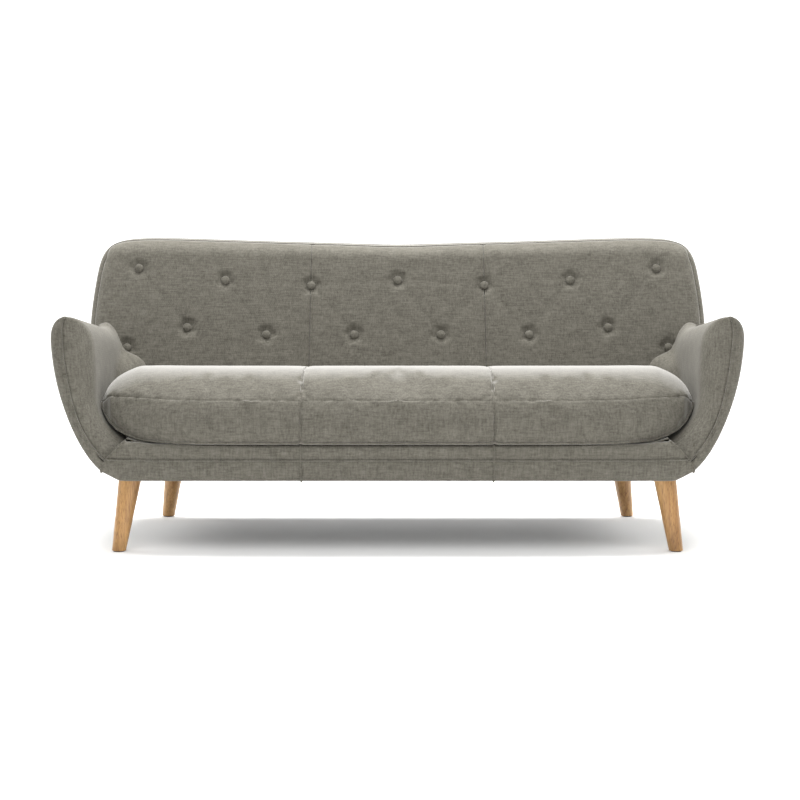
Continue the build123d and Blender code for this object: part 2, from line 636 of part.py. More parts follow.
def back_webbing():
    """Elastic straps from the back's lower rail to its top rail, behind the foam."""
    z_low, z_high = BACK_LOWER_RAIL_Z[0] + WEB_END, BACK_TOP_RAIL_Z[1] - WEB_END
    depth = (BACK_FOAM_DEPTH + PLY_GAP, BACK_FOAM_DEPTH + PLY_GAP + WEB_THICKNESS)
    half = WEB_WIDTH / 2
    places = [part * HALF for part in WEB_COLUMNS]
    return both_sides([raked_box(x - half, x + half, z_low, z_high, *depth) for x in places])


# ---- foams and pads ----
def deck(z_low, z_high):
    """Flat layer over the springs, from the front rail to behind the inside back."""
    half = CUSHION_HALF - CUSHION_FLAT_INSET
    return block(-half, half, FRONT_RAIL_Y, BACK_FOOT_Y + DECK_TUCK, z_low, z_high)


def arm_foam():
    """Foam wrap of the right arm, hollow inside and open where it meets the back."""
    outer = COVER + PLY_GAP
    return arm_shape(outer) - arm_shape(outer + ARM_FOAM) - frame_bay()


def back_foam():
    """Foam of the inside back, let round the arm rails and the button twines."""
    pad = back_shape(COVER + PLY_GAP) & raked_slab(-PAST, BACK_FOAM_DEPTH)
    return pad - frame_bay() - both_sides([arm_rail()]) - button_twines()


# ---- covers ----
def arm_skin():
    """Whole cover of the right arm."""
    return arm_shape(0) - arm_shape(COVER) - frame_bay()


def outer_seam_side():
    """Everything outside the seam that runs up the front of the right arm."""
    curve = inset_outline(arm_outline(ARM_FRONT_Y), OUTER_SEAM_INSET)[1 : 1 + len(ARM_OUTER_CURVE)]
    top = ARM_HEIGHT - OUTER_SEAM_DROP
    edge = [(x, min(z, top)) for x, z in curve]
    far = [(HALF + PAST, top), (HALF + PAST, LEG_HEIGHT - PAST), (edge[0][0], LEG_HEIGHT - PAST)]
    return prism_along_y(edge + far, FRONT_Y - PAST, REAR_Y)


def base_skin(z_low, z_high):
    """Band of the cover on the front of the base between two heights."""
    skin = base_shape(0) - base_shape(COVER) - frame_bay()
    return skin & block(-HALF, HALF, FRONT_Y - PAST, FRONT_RAIL_Y + PAST, z_low, z_high)


def back_skin():
    """Whole cover of the back."""
    return back_shape(0) - back_shape(COVER) - frame_bay()


def inside_back_panel():
    """Everything within the seam round the inside back, as deep as the tufts."""
    outline = back_outline(BACK_SEAM_INSET)
    across = Spline(*outline) + Line(outline[-1], outline[0])
    within = extrude(section_plane(REAR_Y + PAST) * make_face(across), amount=OVERALL_DEPTH)
    return within & raked_slab(-PAST, TUFT_DEPTH + COVER * 2)


def dust_cover():
    """Cloth stapled under the frame, cut out round the leg plates."""
    front, rear = FRONT_RAIL_Y + DUST_MARGIN, REAR_RAIL_Y - DUST_MARGIN
    plan = [(-rail_edge(front, DUST_MARGIN), front), (rail_edge(front, DUST_MARGIN), front)]
    plan += [(rail_edge(rear, DUST_MARGIN), rear), (-rail_edge(rear, DUST_MARGIN), rear)]
    cloth = prism_up(plan, LEG_HEIGHT + PLATE_THICKNESS - DECK_CLOTH, LEG_HEIGHT + PLATE_THICKNESS)
    plates = both_sides([leg_plate(True), leg_plate(False), leg_bolt(True), leg_bolt(False)])
    return cloth - plates


# ---- buttons ----
def back_buttons():
    """Covered buttons on the floors of the tufts."""
    button = Cylinder(BUTTON_RADIUS, BUTTON_HEIGHT)
    button = fillet(button.edges().group_by(Axis.Z)[-1], BUTTON_HEIGHT * 0.45)
    return [on_face(x, z, TUFT_DEPTH - BUTTON_HEIGHT / 2) * button for x, z in button_places()]


def button_twines():
    """Twine from each button through the foam to its washer."""
    end = BACK_FOAM_DEPTH + PLY_GAP + WASHER_THICKNESS
    length = end - TUFT_DEPTH
    return [on_face(x, z, TUFT_DEPTH + length / 2) * Cylinder(TWINE, length) for x, z in button_places()]


def button_washers():
    """Washer behind the foam at each button."""
    ring = Cylinder(WASHER_RADIUS, WASHER_THICKNESS) - Cylinder(TWINE, WASHER_THICKNESS * 2)
    depth = BACK_FOAM_DEPTH + PLY_GAP + WASHER_THICKNESS / 2
    return [on_face(x, z, depth) * ring for x, z in button_places()]


# ---- zip at the back of the seat cushion ----
def zip_chain():
    """Tape and teeth along the rear of the cushion."""
    tape = ZIP_TAPE / 2
    return block(-ZIP_HALF, ZIP_HALF, ZIP_Y, ZIP_Y + ZIP_THICKNESS, ZIP_Z - tape, ZIP_Z + tape)


def zip_slider():
    """Slider body with two lugs and the pin that the pull tab hangs on."""
    width, depth, height = SLIDER_SIZE
    x, half, face = SLIDER_X, height / 2, SLIDER_FACE_Y
    body = block(x - width / 2, x + width / 2, face - depth, face, ZIP_Z - half, ZIP_Z + half)
    reach = PIVOT_Y + LUG_REACH - face
    lug = Box(LUG_THICKNESS, reach, 2 * LUG_REACH)
    aside = (TAB_WIDTH / 2 + RUNNING_GAP + width / 2) / 2
    lugs = [Pos(x + side * aside, face + reach / 2, ZIP_Z) * lug for side in (-1, 1)]
    pin = Pos(x, PIVOT_Y, ZIP_Z) * Rot(0, 90, 0) * Cylinder(PIN_RADIUS, width - 1)
    return body + lugs + pin


def zip_pull_tab():
    """Pull tab with an eye round the slider's pin, hanging down."""
    x = SLIDER_X
    eye_radius = PIN_RADIUS + RUNNING_GAP + TAB_EYE_WALL
    eye = Pos(x, PIVOT_Y, ZIP_Z) * Rot(0, 90, 0) * Cylinder(eye_radius, TAB_WIDTH)
    y_low = PIVOT_Y + eye_radius - TAB_THICKNESS
    blade = block(x - TAB_WIDTH / 2, x + TAB_WIDTH / 2, y_low, y_low + TAB_THICKNESS, ZIP_Z - TAB_LENGTH, ZIP_Z)
    bore = Pos(x, PIVOT_Y, ZIP_Z) * Rot(0, 90, 0) * Cylinder(PIN_RADIUS + RUNNING_GAP, TAB_WIDTH * 2)
    return eye + blade - bore


# ---- every node of the sofa ----
def frame_nodes():
    """Wooden frame, with its screws and leg hardware."""
    corners = (True, False)
    screws = both_sides([screw for front in corners for screw in corner_screws(front)])
    hardware = both_sides([make(front) for front in corners for make in (leg_bolt, leg_nut)])
    blocks = [piece - hardware - screws for piece in both_sides([corner_block(front) for front in corners])]
    rail = arm_rail()
    nodes = {
        "front_rail": cross_rail(FRONT_RAIL_Y) - screws,
        "rear_rail": cross_rail(REAR_RAIL_Y - RAIL_THICKNESS) - screws,
        "corner_blocks": blocks,
        "frame_screws": screws,
        "back_top_rail": back_rail(*BACK_TOP_RAIL_Z),
        "back_lower_rail": back_rail(*BACK_LOWER_RAIL_Z),
    }
    pairs = {
        "side_rail": side_rail(),
        "seat_brace": seat_brace(),
        "arm_front_board": arm_board(BOARD_FRONT_Y),
        "arm_rear_board": arm_board(BACK_FOOT_Y - ARM_REAR_BOARD_LEAD - RAIL_THICKNESS) - rail,
        "arm_top_rail": rail,
        "back_side_panel": back_side_panel(),
        "back_upright": back_upright(),
    }
    return {**nodes, **sided(pairs)}


def sided(pairs):
    """Right-hand pieces and their mirror images, under names ending in right and left."""
    nodes = {}
    for name, piece in pairs.items():
        nodes[name + "_right"] = piece
        nodes[name + "_left"] = left_of(piece)
    return nodes


def leg_nodes():
    """Legs and what fastens and protects them."""
    nodes = sided({"leg_front": leg(True), "leg_rear": leg(False)})
    groups = {"leg_bolts": leg_bolt, "leg_nuts": leg_nut, "leg_plates": leg_plate, "leg_glides": leg_glide}
    for name, make in groups.items():
        nodes[name] = both_sides([make(True), make(False)])
    return nodes


def suspension_nodes():
    """Springs, clips, tie wires, webbing and deck."""
    pad_low = DECK_Z - DECK_CLOTH - DECK_PAD
    return {
        "seat_springs": [seat_spring(x) for x in spring_places()],
        "spring_clips": spring_clips(),
        "spring_tie_wires": tie_wires(),
        "back_webbing": back_webbing(),
        "deck_pad": deck(pad_low, DECK_Z - DECK_CLOTH),
        "deck_cloth": deck(DECK_Z - DECK_CLOTH, DECK_Z),
    }


def upholstery_nodes():
    """Foams, covers and buttons of the tub."""
    arm, back = arm_skin(), back_skin()
    seam_side = outer_seam_side()
    panel = inside_back_panel()
    front_part = raked_slab(-PAST, BACK_BORDER_DEPTH)
    rails = both_sides([arm_rail()])
    seam_z = LEG_HEIGHT + BASE_SEAM_HEIGHT
    twines = button_twines()
    nodes = sided({
        "arm_foam": arm_foam(),
        "arm_inner_cover": arm - seam_side,
        "arm_outer_cover": arm & seam_side,
    })
    nodes["back_foam"] = back_foam()
    nodes["front_border_foam"] = base_shape(COVER + PLY_GAP) - frame_bay()
    nodes["base_lower_cover"] = base_skin(LEG_HEIGHT - PAST, seam_z)
    nodes["base_upper_cover"] = base_skin(seam_z, DECK_Z + PAST)
    nodes["inside_back_cover"] = (back & panel) - rails - twines
    nodes["back_border_cover"] = ((back - panel) & front_part) - rails
    nodes["outside_back_cover"] = back - panel - front_part
    nodes["dust_cover"] = dust_cover()
    nodes["back_buttons"] = back_buttons()
    nodes["button_twines"] = twines
    nodes["button_washers"] = button_washers()
    return nodes


def cushion_nodes():
    """Loose seat cushion and its zip."""
    return {
        "seat_cushion_cover": cushion_shape(0) - cushion_shape(COVER),
        "seat_cushion_core": cushion_shape(COVER + PLY_GAP),
        "zip_chain": zip_chain(),
        "zip_slider": zip_slider(),
        "zip_pull_tab": zip_pull_tab(),
    }


def solids_of(shape):
    """Every separate solid of a piece or of a list of pieces."""
    if isinstance(shape, (list, tuple)):
        return [solid for piece in shape for solid in solids_of(piece)]
    return list(shape.solids())


def main():
    """Builds every node and writes one file for each."""
    os.makedirs("parts", exist_ok=True)
    nodes = {**frame_nodes(), **leg_nodes(), **suspension_nodes(), **upholstery_nodes(), **cushion_nodes()}
    for name, shape in nodes.items():
        solids = solids_of(shape)
        export_step(solids[0] if len(solids) == 1 else Compound(solids), os.path.join("parts", name + ".step"))
        print(name, len(solids))


main()
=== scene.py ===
# %% [markdown]
# # A three-seat sofa on four oak legs
# The sofa is a tub: two flared arms and a raked back on a low base, all in one grey-taupe chenille.
# One long cushion lies loose in the tub, and the inside back is pulled in by fifteen buttons.
# The frame, springs, legs and zip come ready made. Everything here is the cloth around them.

# %% Frame
import bpy
import json
import math
import numpy as np
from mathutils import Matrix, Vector


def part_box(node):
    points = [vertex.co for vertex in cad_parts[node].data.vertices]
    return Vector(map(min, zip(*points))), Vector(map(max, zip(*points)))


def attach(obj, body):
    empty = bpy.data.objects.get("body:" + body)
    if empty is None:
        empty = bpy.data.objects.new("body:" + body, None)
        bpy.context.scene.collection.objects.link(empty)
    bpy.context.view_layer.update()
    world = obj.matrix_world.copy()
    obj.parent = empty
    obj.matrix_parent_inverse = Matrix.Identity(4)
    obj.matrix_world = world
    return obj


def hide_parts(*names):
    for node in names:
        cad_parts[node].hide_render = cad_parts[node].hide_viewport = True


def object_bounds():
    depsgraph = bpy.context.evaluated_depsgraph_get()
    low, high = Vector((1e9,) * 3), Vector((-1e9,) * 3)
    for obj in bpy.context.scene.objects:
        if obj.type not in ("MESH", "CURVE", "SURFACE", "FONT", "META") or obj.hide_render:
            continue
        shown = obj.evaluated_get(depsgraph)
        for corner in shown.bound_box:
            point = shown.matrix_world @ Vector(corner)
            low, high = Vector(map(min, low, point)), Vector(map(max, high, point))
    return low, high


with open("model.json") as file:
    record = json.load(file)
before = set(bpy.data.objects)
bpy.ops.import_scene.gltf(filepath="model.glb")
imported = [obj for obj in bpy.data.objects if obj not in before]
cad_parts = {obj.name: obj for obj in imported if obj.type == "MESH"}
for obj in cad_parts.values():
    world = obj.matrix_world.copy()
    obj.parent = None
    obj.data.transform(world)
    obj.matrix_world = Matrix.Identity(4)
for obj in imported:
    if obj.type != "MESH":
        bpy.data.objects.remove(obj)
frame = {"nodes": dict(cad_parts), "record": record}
CAD_BOX = [list(corner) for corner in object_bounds()]

# %% [markdown]
# The places that the cloth has to meet are read from the frame: the overall box, the deck that the
# cushion lies on, the underside of the base and the front rail. The rest are the maker's own sizes,
# in metres: how far the back leans, how deep a tuft is, how round an edge is.

# %% Sizes
HALF = CAD_BOX[1][0]
FRONT, REAR = CAD_BOX[0][1], CAD_BOX[1][1]
TOP = CAD_BOX[1][2]
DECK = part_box("deck_cloth")[1].z
FLOOR_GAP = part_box("leg_front_left")[1].z
RAKE = math.radians(19.5)
BACK_FOOT = FRONT + 0.473
ARM_TOP = 0.652
SEAT_SIDE = DECK + 0.102
ARM_FRONT = FRONT + 0.020
BASE_FRONT = FRONT + 0.016
TUCK = 0.028
ARM_DIP = 0.055
CUSHION_HALF = HALF - 0.120
SEAM_X = 0.264
print("half width", round(HALF, 4), "deck", round(DECK, 4), "underside", round(FLOOR_GAP, 4))


# %% [markdown]
# Upholstery has few straight lines, so each outline is a handful of points and a curve through them.
# A natural cubic spline bends as a thin batten does. It is solved for all points at once and then
# read off at even distances, so that the grid built on it has even cells.

# %% Curves
def batten(points, count):
    """Points at even distances along the natural cubic spline through the given points.
    The spline's second derivatives m solve h0*m0 + 2(h0+h1)*m1 + h1*m2 = 6(slope1 - slope0)."""
    p = np.asarray(points, float)
    h = np.linalg.norm(np.diff(p, axis=0), axis=1)
    t = np.concatenate([[0], np.cumsum(h)])
    slope = np.diff(p, axis=0) / h[:, None]
    size = len(p)
    system = np.eye(size)
    inner = np.arange(1, size - 1)
    system[inner, inner - 1] = h[:-1]
    system[inner, inner] = 2 * (h[:-1] + h[1:])
    system[inner, inner + 1] = h[1:]
    right = np.zeros_like(p)
    right[1:-1] = 6 * (slope[1:] - slope[:-1])
    m = np.linalg.solve(system, right)
    fine = np.linspace(0, t[-1], 2000)
    i = np.clip(np.searchsorted(t, fine, side="right") - 1, 0, size - 2)
    a = ((t[i + 1] - fine) / h[i])[:, None]
    b = 1 - a
    bend = ((a**3 - a) * m[i] + (b**3 - b) * m[i + 1]) * (h[i] ** 2)[:, None] / 6
    return even(a * p[i] + b * p[i + 1] + bend, count)


def even(points, count):
    """The same path read off at even distances, or at the given shares of its length: a linear
    interpolation of each coordinate against the summed length of the steps."""
    length = np.concatenate([[0], np.cumsum(np.linalg.norm(np.diff(points, axis=0), axis=1))])
    share = np.linspace(0, 1, count) if np.isscalar(count) else np.asarray(count)
    return np.stack([np.interp(share * length[-1], length, c) for c in points.T], axis=1)


def graded(low, high, step, marks=(), fine=0.0015, reach=0.012):
    """Values from low to high about a step apart, and a fine step apart near each mark: the values
    where the running sum of 1 / (local step) passes whole numbers."""
    grid = np.linspace(low, high, 4000)
    near = np.full(grid.shape, np.inf)
    for mark in marks:
        near = np.minimum(near, np.abs(grid - mark))
    size = fine + (step - fine) * np.clip(near / reach - 0.4, 0, 1)
    count = np.concatenate([[0], np.cumsum(np.diff(grid) / size[1:])])
    return np.interp(np.linspace(0, count[-1], max(int(round(count[-1])), 2) + 1), count, grid)


def smooth(x):
    """Smooth rise from 0 to 1: 3x^2 - 2x^3, flat outside."""
    x = np.clip(x, 0, 1)
    return x * x * (3 - 2 * x)


print("a batten through (0, 0), (1, 1), (2, 0):", batten([(0, 0), (1, 1), (2, 0)], 5).round(3).tolist())

# %% [markdown]
# Three facts shape the whole tub. The arms lean in a little towards the rear, their top line drops
# towards the back, and the inside back is a plane that leans away from the sitter. Each is one small
# formula, used by every piece that touches it, so neighbours always meet.

# %% Shape of the tub
def tucked(x, y):
    """x moved towards the middle by the tuck of the arms: x - TUCK * (share of the depth at y)."""
    return x - np.sign(x) * TUCK * (y - ARM_FRONT) / (REAR - FRONT)


def dipped(z, y):
    """z lowered by the fall of the arm's top line, in proportion to its height above the seat:
    z - ARM_DIP * (distance behind the front / 480 mm) * (height above the seat / height of the arm)."""
    run = np.clip((y - ARM_FRONT) / 0.480, 0, None)
    return z - ARM_DIP * run * np.clip((z - SEAT_SIDE) / (ARM_TOP - SEAT_SIDE), 0, None)


def back_y(z, depth=0.0):
    """y of the inside back's plane at height z, a depth behind its face:
    BACK_FOOT + (z - DECK) * tan(RAKE) + depth / cos(RAKE)."""
    return BACK_FOOT + (z - DECK) * math.tan(RAKE) + depth / math.cos(RAKE)


def rear_y(z):
    """y of the outside back at height z: a line that leans back and rounds over at the top."""
    lean = REAR - 0.040 + 0.040 * (z - FLOOR_GAP) / 0.57
    return np.minimum(lean, REAR) - 0.030 * smooth((z - 0.775) / 0.080)


CORNER_X, CORNER_RISE = HALF - 0.136, 0.0225
ARM_OUTER = [(HALF - d, FLOOR_GAP + up) for d, up in (
    (HALF - CORNER_X, CORNER_RISE), (0.127, 0.030), (0.107, 0.052), (0.077, 0.100), (0.047, 0.166),
    (0.024, 0.233), (0.009, 0.299), (0.001, 0.365), (0.0, 0.388), (0.0045, 0.420), (0.016, 0.4395), (0.030, 0.4495),
    (0.050, 0.4530))]
ARM_INNER = [
    (0.736, DECK + 0.006), (0.7495, DECK + 0.013), (0.781, DECK + 0.0295), (0.8045, DECK + 0.048),
    (0.8215, DECK + 0.070), (0.8335, SEAT_SIDE), (0.8385, 0.480), (0.842, 0.545), (0.846, 0.590),
    (0.8535, 0.618), (0.867, 0.639), (0.882, 0.6495), (HALF - 0.050, FLOOR_GAP + 0.4530)]
ARM_AT_BACK = [
    (0.738, DECK + 0.006), (0.742, DECK + 0.060), (0.746, DECK + 0.125), (0.752, 0.486), (0.780, 0.512),
    (0.813, 0.528), (0.826, 0.546), (0.835, 0.568), (0.851, 0.594), (0.872, 0.609), (0.888, 0.606),
    (0.900, 0.600)]
back_half = HALF - TUCK * (BACK_FOOT - ARM_FRONT) / (REAR - FRONT) - 0.008
SIDE = [(back_half - d, z) for d, z in (
    (0.160, 0.2005), (0.139, 0.217), (0.107, 0.252), (0.077, 0.300), (0.034, 0.400), (0.009, 0.500),
    (0.0, 0.600), (0.004, 0.667), (0.013, 0.740), (0.025, 0.795), (0.041, 0.825), (0.062, 0.841),
    (0.092, 0.850))]
SEAM_END = [(CORNER_X, FLOOR_GAP + CORNER_RISE), (0.8085, 0.236), (0.795, 0.262), (0.772, 0.287),
            (0.736, DECK + 0.006)]
BOTTOM_TURN = [(0.728, 0.0006), (0.757, 0.0010), (0.770, 0.0035), (0.784, 0.0085), (0.800, 0.0155),
               (CORNER_X, CORNER_RISE)]
print("outline points, arm outside and inside, side of the back:", len(ARM_OUTER), len(ARM_INNER), len(SIDE))


# %% [markdown]
# A sewn panel is a sheet on a grid: rows one way, columns the other. Where two panels are sewn
# together the cloth turns in on both sides, which is what makes a seam read as a seam. So the grid's
# edge is rolled inward along the surface's own normal by a quarter circle.

# %% Panels
def normals_of(grid):
    """Unit normals of a grid: the cross product of its column and row directions."""
    across = np.gradient(grid, axis=0)
    along = np.gradient(grid, axis=1)
    n = np.cross(across, along)
    return n / np.maximum(np.linalg.norm(n, axis=2, keepdims=True), 1e-12)


def measured(grid):
    """Distance of every grid point from its first row and its first column: summed step lengths."""
    rows = np.linalg.norm(np.diff(grid, axis=0), axis=2)
    cols = np.linalg.norm(np.diff(grid, axis=1), axis=2)
    down = np.concatenate([np.zeros((1, grid.shape[1])), np.cumsum(rows, axis=0)])
    right = np.concatenate([np.zeros((grid.shape[0], 1)), np.cumsum(cols, axis=1)], axis=1)
    return down, right


def edge_distances(grid):
    """Distance of every grid point from each of the grid's four edges, measured on the cloth."""
    down, right = measured(grid)
    return {"top": down, "bottom": down[-1] - down, "left": right, "right": right[:, -1:] - right}


def rolled(grid, edges, radius=0.006, depth=0.006, fade=1.0):
    """Grid with the named edges turned in by a quarter circle: depth * (1 - sqrt(1 - (1 - d/r)^2)).
    Edges are top, bottom (first and last row), left and right (first and last column).
    The fade, from 0 to 1, lets a seam run out."""
    distance = edge_distances(grid)
    n = normals_of(grid)
    drop = np.zeros(grid.shape[:2])
    for edge in edges:
        t = np.clip(1 - distance[edge] / radius, 0, 1)
        drop = np.maximum(drop, depth * (1 - np.sqrt(np.clip(1 - t * t, 0, 1))))
    return grid - n * (drop * fade)[:, :, None]


def groove(distance, width, depth):
    """Pressed-in line: -depth * exp(-(distance / width)^2)."""
    return -depth * np.exp(-((distance / width) ** 2))


def stitched(grid, edge, inset=0.008, depth=0.0012):
    """Topstitching: a pressed-in line 1.8 mm wide that runs along an edge, at an inset from it."""
    distance = edge_distances(grid)[edge]
    return grid + normals_of(grid) * groove(distance - inset, 0.0018, depth)[:, :, None]


print("a stitched line is", round(-float(groove(0.0, 0.0018, 0.0012)) * 1000, 2), "mm deep at its middle")

# %% [markdown]
# A grid becomes a Blender mesh with from_pydata. Its two measured distances are kept as its own map,
# so that the yarns of the cloth can follow the panel as it was cut. Cloth has a thickness, and the
# Solidify modifier gives it one inward, which also closes the sheet.

# %% Grid to mesh
def add_object(name, verts, faces, uv=None):
    """Mesh object from a list of points and a list of faces, with smooth shading and its own map."""
    mesh = bpy.data.meshes.new(name)
    mesh.from_pydata(verts, [], faces)
    if uv is not None:
        layer = mesh.uv_layers.new(name="cloth")
        loops = np.zeros(len(mesh.loops), np.int32)
        mesh.loops.foreach_get("vertex_index", loops)
        layer.data.foreach_set("uv", np.asarray(uv, np.float32)[loops].ravel())
    mesh.polygons.foreach_set("use_smooth", np.ones(len(mesh.polygons), bool))
    mesh.update()
    made = bpy.data.objects.new(name, mesh)
    bpy.context.scene.collection.objects.link(made)
    return made


def grid_faces(rows, cols, wrap=False):
    """Quads between neighbouring rows and columns of a grid: (i, j), (i+1, j), (i+1, j+1), (i, j+1).
    If wrapped, the last column is joined to the first."""
    i = np.arange(rows * cols).reshape(rows, cols)
    if wrap:
        i = np.concatenate([i, i[:, :1]], axis=1)
    return np.stack([i[:-1, :-1], i[1:, :-1], i[1:, 1:], i[:-1, 1:]], axis=2).reshape(-1, 4)


def panel(name, grid, thickness=0.002):
    """One sewn panel: the grid as cloth, given its thickness inward so that it is closed."""
    rows, cols = grid.shape[:2]
    down, right = measured(grid)
    uv = np.stack([right, down], axis=2).reshape(-1, 2)
    made = add_object(name, grid.reshape(-1, 3).tolist(), grid_faces(rows, cols).tolist(), uv)
    solid = made.modifiers.new("cloth thickness", "SOLIDIFY")
    solid.thickness = thickness
    solid.offset = -1
    return made


def flat_grid(x, y, z):
    """Grid of points from an x, y and z that are each given for the rows, the columns or both."""
    return np.stack(np.broadcast_arrays(x, y, z), axis=2)


def other_side(grid):
    """Mirror image of a grid across the middle, its rows reversed so that it still faces out."""
    return (grid * np.array([-1.0, 1.0, 1.0]))[::-1]


print("a 3 by 4 grid has", len(grid_faces(3, 4)), "quads, and", len(grid_faces(3, 4, wrap=True)), "if wrapped")

# %% [markdown]
# ## Cloth
# The cover is a polyester chenille: soft twisted yarns with a short pile. Light that grazes it is
# caught by the fibre tips, so faces that turn away from the eye go pale and faces seen square on stay
# dark. That is partly the shader's sheen and partly a painted sheen: the colour itself is mixed
# towards a pale grey as the surface turns away from the view. The yarn itself is uneven, so the
# colour is mottled in flecks of a few millimetres, and the bump follows the same flecks. Real yarns
# are 1.5 mm apart, which is finer than the view shows, so they are drawn 6 mm apart. Small helpers
# for shader nodes come first.

# %% Nodes
def linear(code):
    """sRGB hex colour as linear red, green, blue and alpha."""
    value = np.array([int(code[i : i + 2], 16) for i in (1, 3, 5)]) / 255
    return (*np.where(value <= 0.04045, value / 12.92, ((value + 0.055) / 1.055) ** 2.4).tolist(), 1.0)


def node(tree, kind, inputs=None, **settings):
    """Adds one shader node, sets its properties and fills or links its inputs."""
    made = tree.nodes.new("ShaderNode" + kind)
    for key, value in settings.items():
        setattr(made, key, value)
    for key, value in (inputs or {}).items():
        if isinstance(value, bpy.types.NodeSocket):
            tree.links.new(value, made.inputs[key])
        else:
            made.inputs[key].default_value = value
    return made


def new_material(name):
    """Empty node material and its tree."""
    material = bpy.data.materials.new(name)
    material.use_nodes = True
    material.node_tree.nodes.clear()
    return material, material.node_tree


def finish_material(tree, shader, **sockets):
    """Sets the shader's own sockets and joins it to the output."""
    for key, value in sockets.items():
        shader.inputs[key.replace("_", " ")].default_value = value
    node(tree, "OutputMaterial", {"Surface": shader.outputs["BSDF"]})


def two_colours(tree, factor, dark, light, low=0.0, high=1.0):
    """Ramp from a dark to a light colour between two values of the factor."""
    ramp = node(tree, "ValToRGB", {"Fac": factor})
    first, last = ramp.color_ramp.elements
    first.position, first.color = low, linear(dark)
    last.position, last.color = high, linear(light)
    return ramp.outputs["Color"]


print("middle grey, linear:", [round(c, 3) for c in linear("#808080")])

# %% [markdown]
# The slubs are noise stretched six times along the warp and along the weft, 210 per metre across, so
# that a thick place in a yarn is about 5 mm by 30 mm. The flecks between them are 4 mm, the soft
# patches where the pile was stroked 40 mm. The wave node draws 20 / (2 pi) bands for each unit of its
# scale, so a scale of 53 puts the yarns 5.9 mm apart. A painted sheen, pale grey mixed into the
# colour, fades in as the surface turns away from the view. The cloth is made three times with more or
# less of that painted sheen and of the shader's sheen: a lit copy for the cushion, so that its top is
# lighter, a plain one, and a shaded copy for the inside and front of the arms, so that they are darker.

# %% Chenille
YARN_SCALE, SLUBS_PER_METRE, FLECKS_PER_METRE, PATCHES_PER_METRE = 53.0, 210.0, 260.0, 26.0
SLUB_STRETCH = 0.16


def chenille(name, painted_sheen_share, sheen, turn_low=0.60, turn_high=0.98):
    """Grey-taupe chenille. The tone is 0.30 * slubs + 0.24 * flecks + 0.16 * patches. The second
    argument is how much of a painted pale sheen, mixed into the colour, shows where the surface is
    turned right away from the view."""
    material, tree = new_material(name)
    place = node(tree, "TexCoord").outputs["Object"]
    slub_x = node(tree, "Mapping", {"Vector": place, "Scale": (SLUB_STRETCH, 1.0, 1.0)})
    slub_z = node(tree, "Mapping", {"Vector": place, "Scale": (1.0, 1.0, SLUB_STRETCH)})
    slub = {"Scale": SLUBS_PER_METRE, "Detail": 3.0, "Roughness": 0.6}
    across = node(tree, "TexNoise", {"Vector": slub_x.outputs[0], **slub})
    upward = node(tree, "TexNoise", {"Vector": slub_z.outputs[0], **slub})
    flecks = node(tree, "TexNoise", {"Vector": place, "Scale": FLECKS_PER_METRE, "Detail": 4.0,
                                     "Roughness": 0.65})
    patches = node(tree, "TexNoise", {"Vector": place, "Scale": PATCHES_PER_METRE, "Detail": 5.0,
                                      "Roughness": 0.62})
    uv = node(tree, "TexCoord").outputs["UV"]
    yarn_wave = {"Vector": uv, "Scale": YARN_SCALE, "Distortion": 2.2, "Detail": 2.0,
                 "Detail Scale": 2.5}
    warp = node(tree, "TexWave", yarn_wave, bands_direction="X")
    weft = node(tree, "TexWave", yarn_wave, bands_direction="Y")
    yarns = node(tree, "Math", {0: warp.outputs["Fac"], 1: weft.outputs["Fac"]}, operation="MAXIMUM")
    slubs = node(tree, "Math", {0: across.outputs["Fac"], 1: upward.outputs["Fac"]}, operation="ADD")
    first = node(tree, "Math", {0: slubs.outputs[0], 1: 0.30, 2: 0.0}, operation="MULTIPLY_ADD")
    second = node(tree, "Math", {0: flecks.outputs["Fac"], 1: 0.24, 2: first.outputs[0]},
                  operation="MULTIPLY_ADD")
    tone = node(tree, "Math", {0: patches.outputs["Fac"], 1: 0.16, 2: second.outputs[0]},
                operation="MULTIPLY_ADD")
    yarn = two_colours(tree, tone.outputs[0], "#413E37", "#706D64", 0.35, 0.67)
    # Painted sheen: the yarn colour is mixed towards pale grey #D2D1CF as the surface turns away from the view.
    facing = node(tree, "LayerWeight", {"Blend": 0.5})
    painted_sheen = node(tree, "MapRange", {"Value": facing.outputs["Facing"], "From Min": turn_low,
                                   "From Max": turn_high, "To Min": 0.0, "To Max": painted_sheen_share})
    colour = node(tree, "Mix", {"Factor": painted_sheen.outputs["Result"], "A": yarn, "B": linear("#D2D1CF")},
                  data_type="RGBA").outputs["Result"]
    height = node(tree, "Math", {0: yarns.outputs[0], 1: 0.3, 2: second.outputs[0]},
                  operation="MULTIPLY_ADD")
    bump = node(tree, "Bump", {"Height": height.outputs[0], "Strength": 0.5, "Distance": 0.0010})
    rough = node(tree, "MapRange", {"Value": flecks.outputs["Fac"], "To Min": 0.78, "To Max": 0.95})
    shader = node(tree, "BsdfPrincipled", {"Base Color": colour, "Normal": bump.outputs["Normal"],
                                           "Roughness": rough.outputs["Result"]})
    finish_material(tree, shader, Sheen_Weight=sheen, Sheen_Roughness=0.30,
                    Sheen_Tint=linear("#F2F0EA"), Specular_IOR_Level=0.2)
    return material


# Three copies of the cloth with more or less painted sheen: the plain one, a lit copy with more for the cushion and
# a shaded copy with less for the arms.
CHENILLE = chenille("grey_taupe_chenille", 0.20, 0.30)
CHENILLE_PAINTED_HIGHLIGHT = chenille("grey_taupe_chenille_painted_highlight", 0.35, 0.34, 0.42, 0.90)
CHENILLE_PAINTED_SHADE = chenille("grey_taupe_chenille_painted_shade", 0.07, 0.12)
print("cloth:", CHENILLE.name, CHENILLE_PAINTED_HIGHLIGHT.name, CHENILLE_PAINTED_SHADE.name)

# %% [markdown]
# ## Wood and hidden finishes
# The legs are turned from oak and sprayed with a clear satin lacquer. The lacquer gives the eye a soft
# broad shine over long pale grain with fine dark pores. The finishes inside the sofa are simpler: two
# close colours mottled at the size of that material's own grain, with a bump to match.

